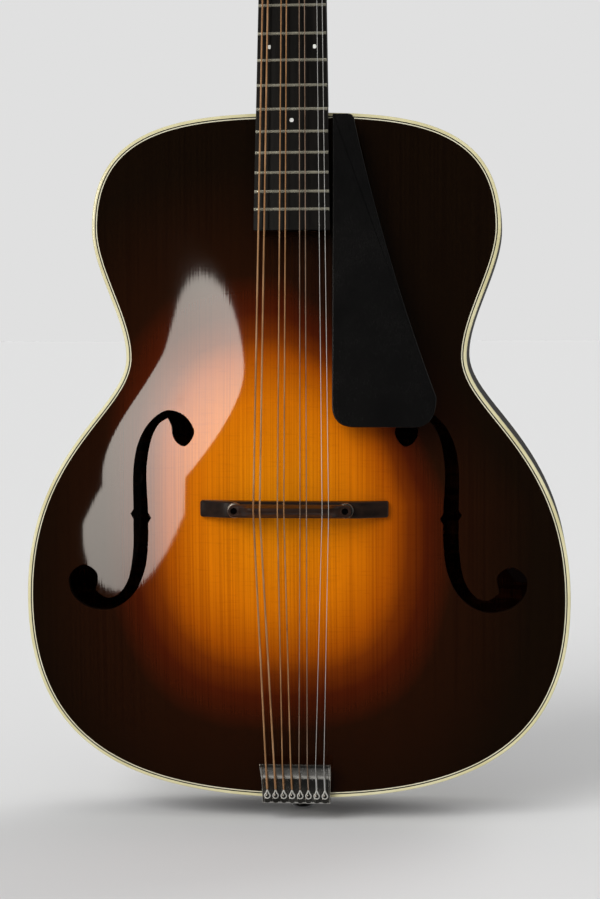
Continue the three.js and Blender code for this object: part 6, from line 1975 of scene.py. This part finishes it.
@dataclass
class Bridge(SubAssembly):
    """Floating bridge: a base that follows the arch, two threaded posts, two knurled wheels, the saddle.

    Args:
        box: The sound box that it stands on.
        middle: X of the base's middle.
        length: Length of the base.
        width: Width of the base.
        base_top: Height of the base's flat top.
        end_rise: Height of its ends over the top.
        flat_share: Share of its length that is flat.
        posts: X of the two posts.
        post: Radius of the posts.
        post_span: Height of the posts' ends.
        thread: Pitch of the posts' thread.
        wheel: Radius and height of the wheels' faces.
        saddle_bottom: Height of the saddle's underside.
        ear: Width, height and reach of the saddle's ears.
        blade: X of the blade's ends.
        crest: Height of its crest.
    """

    box: SoundBox
    middle: float = 0.3
    length: float = 121.6
    width: float = 10.6
    base_top: float = 24.828
    end_rise: float = 4.3
    flat_share: float = 0.66
    posts: Pair = (-36.5, 34.7)
    post: float = 1.9
    post_span: Pair = (18.828, 33.728)
    thread: float = 0.794
    wheel: Triple = (5.0, 26.628, 29.028)
    saddle_bottom: float = 29.328
    ear: Triple = (7.8, 5.4, 3.9)
    blade: Pair = (-33.6, 31.8)
    crest: float = 39.2

    def base(self) -> None:
        """The base: at each X a section with its foot on the arch and rounded upper edges. Its top falls
        by half a cosine from the flat to the ends; its plan narrows on a quarter circle at the corners."""
        corner = 1.3
        half = self.length / 2
        share = np.r_[0, 1 - np.cos(np.linspace(0, math.pi / 2, 8)[1:]), 2.0, np.arange(4, half, 2.0)]
        x = np.unique(np.r_[share * (share > 1) + np.minimum(share, 1) * corner * (share <= 1)])
        x = np.r_[x, half, 2 * half - x[::-1]] - half
        out = np.clip((half - np.abs(x)) / corner, 0, 1)
        wide = self.width / 2 - corner * (1 - np.sqrt(1 - (1 - out) ** 2))
        place = x + self.middle
        top_here = self.box.top_height(place, 0 * place)
        past = np.maximum(np.abs(x / half) - self.flat_share, 0) / (1 - self.flat_share)
        low = np.minimum(top_here + self.end_rise, self.base_top)
        high = mix(self.base_top, low, (1 - np.cos(math.pi * past)) / 2) - 0.7 * (1 - out) ** 2
        bend = np.linspace(0, math.pi / 2, 5)
        radius = 1.2
        rings = []
        for side, angle in ((1, bend), (-1, bend[::-1])):
            y = side * (wide[:, None] - radius + radius * np.cos(angle))
            z = high[:, None] - radius + radius * np.sin(angle)
            rings.append(np.stack([place[:, None] + 0 * y, y, z], -1))
        feet = wide[:, None] * np.array([-1, -0.5, 0, 0.5, 1])
        foot = self.box.top_height(place[:, None] + 0 * feet, feet) + 0.05
        under = np.stack([place[:, None] + 0 * feet, feet, foot], -1)
        draft = Draft().skin(np.concatenate([under, *rings], 1))
        piece = self.shaped("fitted_bridge_base", draft, Finish.BRIDGE, crease=42)
        fitted_to(piece, "instrument", "ebony", "bridge_base")

    def saddle(self) -> None:
        """The saddle: ears with a hole over each post, and a blade whose crest stands near its neck side and
        slopes down towards the tailpiece."""
        wide, high, reach = self.ear
        radius = wide / 2
        angle = np.linspace(-math.pi / 2, math.pi / 2, 20)
        out, y = radius * np.cos(angle), radius * np.sin(angle)
        right = np.stack([self.posts[1] + reach - radius + out, y], -1)
        left = np.stack([self.posts[0] - reach + radius - out, -y], -1)
        ears = slab(np.vstack([right, left]), self.saddle_bottom, self.saddle_bottom + high, 0.7)
        x = np.unique(np.r_[np.linspace(*self.blade, 40), self.blade[0] + 0.4, self.blade[1] - 0.4])
        out = np.clip(np.minimum(x - self.blade[0], self.blade[1] - x) / 8.0, 0, 1)
        lift = np.sin(math.pi / 2 * out) ** 1.5
        low = self.saddle_bottom + high - 0.7
        top = mix(low + 0.75, self.crest, lift)
        section = np.array(
            [
                (-3.75, 0.0), (3.75, 0.0), (3.7, 0.1), (3.0, 0.5), (2.5, 0.85), (2.2, 0.97), (1.7, 1.0),
                (0.1, 1.0), (-0.7, 0.9), (-2.4, 0.5), (-3.5, 0.12),
            ]
        )
        y = np.broadcast_to(section[:, 0], (len(x), len(section)))
        z = low + (top - low)[:, None] * section[:, 1]
        blade = np.stack([x[:, None] + 0 * y, y, z], -1)
        draft = Draft().skin(ears).skin(blade)
        piece = self.shaped("compensated_saddle", draft, Finish.SADDLE, crease=35)
        cutter = Draft()
        for at in self.posts:
            cutter.skin(disc(at, 0, self.post + 0.3, self.saddle_bottom - 2, self.saddle_bottom + high + 2))
        hollowed(piece, cutter, self.bench, crease=35)
        fitted_to(piece, "saddle", "ebony", "bridge_saddle")

    def threaded(self) -> None:
        """The posts: the radius swings with the cosine of the height over the pitch less the angle. Their
        ends are near black: painted shade for the dark holes over them in the saddle's ears.
        """
        low, high = self.post_span
        z = np.linspace(low, high, 168)[:, None]
        angle = 2 * math.pi * np.arange(20) / 20
        wave = np.cos(2 * math.pi * z / self.thread - angle)
        ease = np.clip(np.minimum(z - low, high - z) / 0.5, 0, 1)
        radius = (self.post - 0.13 + 0.13 * wave) * (0.8 + 0.2 * np.sqrt(ease))
        for side, x in zip(Side, self.posts, strict=True):
            rings = np.stack([x + radius * np.cos(angle), radius * np.sin(angle), z + 0 * radius], -1)
            # The end is near black: painted shade for the dark hole over it in the saddle's ear.
            end = disc(x, 0, self.post - 0.25, high - 0.4, high + 0.02)
            draft = Draft().skin(rings).skin(end, 1)
            name = f"threaded_post_{side.label}"
            piece = self.shaped(name, draft, Finish.NICKEL, Finish.BLUED, crease=60)
            fitted_to(piece, "instrument", "nickel", f"bridge_post_{side.label}")

    def wheels(self) -> None:
        """The wheels: a ring section swept round the post, whose rim swings with the cosine of 30 times
        the angle."""
        radius, low, high = self.wheel
        angle = 2 * math.pi * np.arange(240) / 240
        knurl = 0.09 * (1 + np.cos(30 * angle))
        inner = self.post + 0.12
        section = np.array(
            [
                (inner, low), (radius - 0.6, low), (radius - 0.22, low + 0.12), (radius, low + 0.45),
                (radius, high - 0.45), (radius - 0.22, high - 0.12), (radius - 0.6, high), (inner, high),
            ]
        )
        out = section[None, :, 0] - knurl[:, None] * (section[None, :, 0] > radius - 0.3)
        for side, x in zip(Side, self.posts, strict=True):
            across, along = out * np.cos(angle)[:, None], out * np.sin(angle)[:, None]
            rings = np.stack([x + across, along, section[None, :, 1] + 0 * out], -1)
            draft = Draft().skin(rings, loop=True)
            piece = self.shaped(f"knurled_wheel_{side.label}", draft, Finish.WORN_NICKEL, crease=42)
            fitted_to(piece, f"wheel_{side.label}", "nickel", f"thumbwheel_{side.label}")

    def build(self) -> None:
        """Everything of the bridge."""
        self.base()
        self.saddle()
        self.threaded()
        self.wheels()


# Tailpiece and pickguard


@dataclass
class Tailpiece(SubAssembly):
    """Bent metal tailpiece with its row of pegs, and the turned end pin.

    Args:
        half: Half its width at the lip.
        waist_share: Share of that width at the edge over the tail.
        section: Y and height of its section.
        edge: Y of the flange's inner face.
        wall: Thickness of the metal.
        flange: How far the flange reaches down.
        pitch: Distance between pegs.
        peg: Radius, Y and height of the pegs.
        scallop: Radius of the scallops on its bend.
        pin_height: Height of the end pin.
        pin: Radius of the end pin's shank, of its knob, and the knob's reach.
    """

    half: float = 23.3
    waist_share: float = 0.95
    section: Corners = (
        (-167.0, 13.2), (-168.6, 13.2), (-176.0, 8.6), (-177.6, 7.0), (-182.2, 5.4), (-193.2, 5.4),
        (-194.8, 3.8), (-194.8, -2.4), (-192.4, -2.4), (-192.4, 1.4), (-182.2, 3.0), (-176.0, 4.6),
        (-167.0, 10.8),
    )
    edge: float = -192.4
    wall: float = 2.4
    flange: float = 56.0
    pitch: float = 5.4
    peg: Triple = (1.0, -189.2, 7.2)
    scallop: float = 2.6
    pin_height: float = -43.0
    pin: Triple = (4.4, 7.5, 12.0)

    def width(self, y: Points) -> Points:
        """Half its width at a place along: it grows over 24.7 mm from the bend, then stays."""
        return self.half * mix(self.waist_share, 1, np.clip((y - self.edge) / 24.7, 0, 1))

    def cover(self) -> Points:
        """The bent plate: its rounded section at steps across, drawn in at both rims."""
        radius = [0.5, 1.1, 2.2, 1.2, 2.2, 1.1, 1.1, 0.1, 0.1, 1.0, 1.6, 1.6, 0.5]
        line = rounded(np.array(self.section), np.array(radius), 5)
        middle = line.mean(0)
        wide = self.width(line[:, 0])
        shares = np.array([-1, -0.996, -0.985, -0.96, -0.5, 0, 0.5, 0.96, 0.985, 0.996, 1])
        drop = np.array([0.45, 0.2, 0.05, 0, 0, 0, 0, 0, 0.05, 0.2, 0.45])
        to_middle = unit(middle - line)
        rings = []
        for share, inset in zip(shares, drop, strict=True):
            y, z = (line + to_middle * inset * 0.5).T
            rings.append(np.stack([wide * share, y, z], -1))
        return np.array(rings)

    def flange_rings(self) -> Points:
        """The flange: a shield-shaped plate that hangs over the tail, its rims rounded."""
        wide, narrow = self.half * self.waist_share, 12.0
        corners = [
            (-wide, 3.0), (wide, 3.0), (wide, -2 * self.wall), (narrow, narrow - self.flange),
            (narrow / 2, -self.flange), (-narrow / 2, -self.flange), (-narrow, narrow - self.flange),
            (-wide, -2 * self.wall),
        ]
        line = rounded(np.array(corners), np.array([0.3, 0.3, 7, 8, 5, 5, 8, 7]), 9)
        rings = slab(line, 0, self.wall, 0.45)
        return np.stack([rings[..., 0], self.edge - rings[..., 2], rings[..., 1]], -1)

    def rims(self, draft: Draft) -> None:
        """Raised bright beads along both rims of the cover."""
        radius = np.array([0.3, 0.7, 2.2, 1.2, 2.2, 1.1, 0.3])
        line = rounded(np.array(self.section)[:7], radius, 6, closed=False)[1:-1]
        wide = self.width(line[:, 0]) - 0.75
        for side in Side:
            path = np.stack([side.value * wide, line[:, 0], line[:, 1] + 0.1], -1)
            draft.skin(tube(path, 0.75, 10, np.array((1.0, 0, 0))))

    def plate(self) -> None:
        """The cover and the flange with the rims' beads, the scallops and the pegs, and the pin's hole."""
        draft = Draft().skin(self.cover()).skin(self.flange_rings())
        self.rims(draft)
        bed = 5.4
        radius, y, top = self.peg
        rows = [(radius, bed - 0.5), (radius, top - 0.9), (radius * 1.2, top - 0.6)]
        rows += [(radius * 1.2, top - 0.25), (radius * 0.8, top)]
        bend = self.edge - self.wall + self.scallop * 1.1
        for index in range(8):
            x = self.pitch * (index - 3.5)
            draft.skin(disc(x, bend, self.scallop, bed - 2.6, bed + 0.25, 0.9, 28))
            draft.skin(lathe(np.array(rows), 20) + (x, y, 0))
        piece = self.shaped("bent_tailpiece", draft, Finish.NICKEL, crease=40)
        low, high = -self.edge - 3, -self.edge + self.wall + 3
        hole = disc(0, self.pin_height, self.pin[0] + 0.25, low, high, sides=40)
        cutter = Draft().skin(np.stack([hole[..., 0], -hole[..., 2], hole[..., 1]], -1))
        hollowed(piece, cutter, self.bench, crease=40)
        fitted_to(piece, "instrument", "nickel", "tailpiece")

    def build(self) -> None:
        """The tailpiece and its pin."""
        self.plate()
        shank, knob, reach = self.pin
        face = self.edge - self.wall - 0.05
        rows = [
            (0.8, -168.6), (3.4, -168.6), (3.6, -169.0), (shank, face + 4), (shank, face),
            (knob - 0.4, face), (knob, face - 0.5), (knob, face - 0.15 * reach),
            (knob * 0.9, face - 0.22 * reach), (knob * 0.66, face - 0.33 * reach),
            (knob * 0.62, face - 0.42 * reach), (knob * 0.68, face - 0.52 * reach),
            (knob * 0.92, face - 0.64 * reach), (knob, face - 0.74 * reach), (knob, face - 0.84 * reach),
            (knob * 0.9, face - 0.93 * reach), (knob * 0.66, face - 0.985 * reach),
            (knob * 0.3, face - reach),
        ]
        turned = lathe(np.array(rows), 48)
        pin = np.stack([turned[..., 0], turned[..., 2], self.pin_height + turned[..., 1]], -1)
        piece = self.shaped("turned_pin", Draft().skin(pin), Finish.PIN, crease=45)
        fitted_to(piece, "instrument", "ebony", "end_pin")


@dataclass
class Pickguard(SubAssembly):
    """Raised pickguard beside the fingerboard, and the post that holds its outer corner.

    Args:
        box: The sound box under it.
        setting: How the neck is set, which it lies parallel to.
        near: X of its straight side.
        foot: Y of its lower side.
        top: Y of its upper side.
        reach: X of its outer corner.
        hip: Y of its outer corner.
        top_wide: X of its upper corner.
        corner: Size of its lower corners.
        bow: How far its long side bows in.
        heights: Height of its two faces over the glue plane.
        post: X and Y of the post.
    """

    box: SoundBox
    setting: Setting = Setting()
    near: float = 26.0
    foot: float = 53.0
    top: float = 252.4
    reach: float = 92.4
    hip: float = 72.0
    top_wide: float = 37.5
    corner: float = 14.5
    bow: float = 5.0
    heights: Pair = (2.15, 4.75)
    post: Pair = (66.0, 78.0)

    def outline(self) -> Points:
        """Its outline on the bench: lines joined by quadratic curves."""

        def curve(a: Points, b: Points, c: Points, steps: int) -> Points:
            """A quadratic curve from a to c, pulled by b."""
            t = np.linspace(0, 1, steps)[:, None]
            return (1 - t) ** 2 * a + 2 * t * (1 - t) * b + t**2 * c

        near, foot, reach, top = self.near, self.foot, self.reach, self.top
        inner, outer = self.top_wide - 2.5, self.top_wide + 2.5
        hip, shoulder = np.array([(reach, self.hip), (outer, top - 5)])
        pull = (hip + shoulder) / 2 - self.bow
        first, second = np.array([(near, foot + self.corner), (near + self.corner, foot)])
        third, fourth = np.array([(reach - self.corner, foot), (reach, foot)])
        fifth, sixth = np.array([(outer, top), (inner, top)])
        return np.vstack(
            [
                curve(first, np.array([near, foot]), second, 14),
                curve(third, fourth, hip, 18),
                curve(hip, pull, shoulder, 40)[1:-1],
                curve(shoulder, fifth, sixth, 8),
                [(near + 0.4, top), (near, top - 0.4)],
            ]
        )

    def build(self) -> None:
        """The guard with its bevelled rim, and the post under it."""
        s = self.setting
        line = self.outline()
        line[:, 1] = (line[:, 1] - s.scale) / math.cos(s.angle)
        low, high = self.heights
        draft = Draft().skin(moved(slab(line, low, high, 0.7, 5), s.neck))
        piece = self.shaped("floating_pickguard", draft, Finish.GUARD, crease=50)
        fitted_to(piece, "instrument", "black_plastic", "pickguard")
        x, y = self.post
        foot = float(self.box.top_height(np.array(x), np.array(y)))
        below = np.array([0, (y - s.scale) / math.cos(s.angle), low])
        under = float(moved(below, s.neck)[2])
        rows = [
            (5.7, foot - 0.6), (6.0, foot + 0.4), (6.0, foot + 1.6), (5.6, foot + 2.2), (4.2, foot + 2.8),
            (3.3, foot + 3.8), (3.0, foot + 5.2), (3.0, under - 0.5),
        ]
        rings = lathe(np.array(rows), 32) + (x, y, 0)
        piece = self.shaped("guard_support", Draft().skin(rings), Finish.GUARD, crease=50)
        fitted_to(piece, "instrument", "black_plastic", "pickguard_post")


# Studio


@dataclass
class Studio:
    """Pale studio: floor, soft lights, a plain world, and the camera at the photo's angle.

    Args:
        target: Row point that the camera looks at, in millimetres.
        azimuth: The camera's turn round the object in degrees.
        elevation: Its height over the horizon in degrees.
        roll: Its turn about its own axis in degrees.
        distance: Its distance in millimetres.
        lens: Its focal length over a 36 mm high frame.
        backdrop: The colour behind the object.
        floor_colour: The floor's colour.
        ambient: Strength of the world on matt surfaces.
        key_middle: Row point, in millimetres, that the key's mirror image lies on.
        key_way: Direction from there to the key.
        key_distance: Way to the key in metres.
        key_shape: The key's corners across and up, in metres.
        key_glow: Its strength at its foot and its head.
        key_colour: Its colour.
        suns: Name, strength and direction of the wide soft lights, which light the floor evenly.
        softness: How wide they are in degrees.
    """

    target: Triple = (2.883, -23.2488, -549.034)
    azimuth: float = 5.4825
    elevation: float = 3.6126
    roll: float = 0.2302
    distance: float = 1487.8
    lens: float = 91.667
    backdrop: str = "#e0e0e0"
    floor_colour: str = "#e2e2e2"
    ambient: float = 0.5
    key_middle: Triple = (-89.2, -28.8, -552.2)
    key_way: Triple = (-0.388, -0.9216, 0.002)
    key_distance: float = 1.8
    key_shape: Corners = (
        (0.1, -0.43), (0.22, -0.1), (0.3, 0.3), (0.22, 0.4), (-0.27, 0.44), (0.08, 0.0), (0.03, -0.14),
    )
    key_glow: Pair = (5.5, 8.6)
    key_colour: Colour = (1.0, 0.93, 0.84, 1.0)
    suns: tuple[tuple[str, float, Triple], ...] = (
        ("front", 2.05, (-0.45, -0.75, 0.5)),
        ("rear", 1.1, (0.5, 0.75, 0.5)),
    )
    softness: float = 40.0

    def axes(self) -> tuple[Vector, Vector, Vector]:
        """The camera's right, up and back directions."""
        az, el, roll = (math.radians(v) for v in (self.azimuth, self.elevation, self.roll))
        back = Vector((math.sin(az) * math.cos(el), -math.cos(az) * math.cos(el), math.sin(el)))
        right = Vector((math.cos(az), math.sin(az), 0))
        up = back.cross(right)
        cos, sin = math.cos(roll), math.sin(roll)
        return right * cos - up * sin, right * sin + up * cos, back

    def camera(self) -> None:
        """The camera."""
        right, up, back = self.axes()
        data = bpy.data.cameras.new("camera")
        data.sensor_fit = "VERTICAL"
        data.sensor_height = 36
        data.lens = self.lens
        data.clip_end = 50
        camera = bpy.data.objects.new("camera", data)
        bpy.context.collection.objects.link(camera)
        turned = Matrix((right, up, back)).transposed().to_4x4()
        place = Vector(self.target) * MM + back * self.distance * MM
        camera.matrix_world = Matrix.Translation(place) @ turned
        bpy.context.scene.camera = camera

    def key(self) -> None:
        """A soft light, narrow and dim at its foot, that glossy wood shows as one long window."""
        way = np.array(self.key_way)
        across = unit(np.cross(way, (0, 0, 1.0)))
        up = np.cross(across, way)
        shape = np.array(self.key_shape)
        middle = np.array(self.key_middle) * MM + way * self.key_distance
        corners = middle + shape[:, :1] * across + shape[:, 1:] * up
        mesh = bpy.data.meshes.new("key")
        mesh.from_pydata(corners, [], [tuple(range(len(corners)))])
        share = (shape[:, 1] - shape[:, 1].min()) / np.ptp(shape[:, 1])
        mesh.attributes.new("glow", "FLOAT", "POINT").data.foreach_set("value", mix(*self.key_glow, share))
        r = Recipe("key_light")
        out = r.tree.nodes["Material Output"]
        lamp = r.feed(r.add("ShaderNodeEmission"), Color=self.key_colour, Strength=r.attribute("glow"))
        r.tree.links.new(lamp.outputs[0], out.inputs["Surface"])
        mesh.materials.append(r.material)
        key = bpy.data.objects.new("key", mesh)
        key.visible_camera = False
        key.visible_diffuse = False
        key.visible_shadow = False
        bpy.context.collection.objects.link(key)
        key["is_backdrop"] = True

    def sun(self, name: str, strength: float, way: Triple) -> None:
        """A wide soft light from that direction, which glossy surfaces don't show."""
        data = bpy.data.lights.new(name, "SUN")
        data.energy = strength
        data.angle = math.radians(self.softness)
        lamp = bpy.data.objects.new(name, data)
        lamp.location = Vector(way) * 3
        lamp.rotation_euler = Vector(way).to_track_quat("Z", "Y").to_euler()
        lamp.visible_glossy = False
        bpy.context.collection.objects.link(lamp)
        lamp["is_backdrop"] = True

    def world(self) -> None:
        """The world: pale where the camera looks past the object, and soft on matt surfaces. In mirrors it
        is nearly dark in front of the object, palest at its sides, dimmer behind and dark straight behind."""
        world = bpy.data.worlds.new("studio")
        world.use_nodes = True
        bpy.context.scene.world = world
        tree = world.node_tree
        tree.nodes.clear()
        path = tree.nodes.new("ShaderNodeLightPath")
        out = tree.nodes.new("ShaderNodeOutputWorld")
        place = tree.nodes.new("ShaderNodeTexCoord")
        split = tree.nodes.new("ShaderNodeSeparateXYZ")
        tree.links.new(place.outputs["Generated"], split.inputs[0])

        def shine(strength: float, colour: Colour = (1, 1, 1, 1)) -> Socket:
            """One plain background."""
            node = tree.nodes.new("ShaderNodeBackground")
            node.inputs["Color"].default_value = colour
            node.inputs["Strength"].default_value = strength
            return node.outputs[0]

        def chosen(share: Socket, rest: Socket, other: Socket) -> Socket:
            """The other background for the rays that the share names."""
            node = tree.nodes.new("ShaderNodeMixShader")
            tree.links.new(share, node.inputs[0])
            tree.links.new(rest, node.inputs[1])
            tree.links.new(other, node.inputs[2])
            return node.outputs[0]

        def rising(start: float, end: float) -> Socket:
            """Share that rises from the front of the world to its back."""
            node = tree.nodes.new("ShaderNodeMapRange")
            node.interpolation_type = "SMOOTHSTEP"
            tree.links.new(split.outputs[1], node.inputs[0])
            node.inputs[1].default_value, node.inputs[2].default_value = start, end
            return node.outputs[0]

        mirrored = chosen(rising(-0.3, 0.0), shine(0.02), shine(0.6))
        mirrored = chosen(rising(0.1, 0.4), mirrored, shine(0.3))
        mirrored = chosen(rising(0.85, 0.98), mirrored, shine(0.06))
        glossy = chosen(path.outputs["Is Glossy Ray"], shine(self.ambient), mirrored)
        seen = chosen(path.outputs["Is Camera Ray"], glossy, shine(1.0, paint(self.backdrop)))
        through = chosen(path.outputs["Is Transmission Ray"], seen, shine(1.0, paint(self.backdrop)))
        tree.links.new(through, out.inputs["Surface"])

    def floor(self, height: float) -> None:
        """A plain pale floor."""
        mesh = bpy.data.meshes.new("floor")
        corners = [(-20, -20, height), (20, -20, height), (20, 20, height), (-20, 20, height)]
        mesh.from_pydata(corners, [], [(0, 1, 2, 3)])
        r = Recipe("pale_floor")
        r.surface(Base_Color=paint(self.floor_colour), Roughness=0.95, Specular_IOR_Level=0.0)
        mesh.materials.append(r.material)
        floor = bpy.data.objects.new("floor", mesh)
        floor.visible_glossy = False
        bpy.context.collection.objects.link(floor)
        floor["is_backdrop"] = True

    def build(self, lowest: float) -> None:
        """Everything of the studio, over a floor at the object's lowest point."""
        self.camera()
        self.world()
        self.floor(lowest)
        self.key()
        for name, strength, way in self.suns:
            self.sun(name, strength, way)
        bpy.context.scene.view_settings.view_transform = "Standard"


def kept_box() -> list[list[float]]:
    """The shown object's box as plain lists."""
    return [[round(float(v), 6) for v in corner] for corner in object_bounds()]


def main() -> None:
    """Builds every sub-assembly over the frame, and the studio round it."""
    logging.basicConfig(level=logging.INFO, format="%(message)s")
    sizes = {"cad": kept_box()}
    palette = Palette()
    bench = Bench.read(Outline().shoulder)
    box = SoundBox(bench, palette)
    machines = TuningMachines(bench, palette)
    strings = Strings(bench, palette, machines)
    box.build()
    Neck(bench, palette).build(machines.places())
    machines.build(strings.endings())
    strings.build()
    Bridge(bench, palette, box).build()
    Tailpiece(bench, palette).build()
    Pickguard(bench, palette, box).build()
    sizes["visual"] = kept_box()
    Studio().build(sizes["visual"][0][2])
    LOG.info("boxes: %s", sizes)


if __name__ == "__main__":
    main()
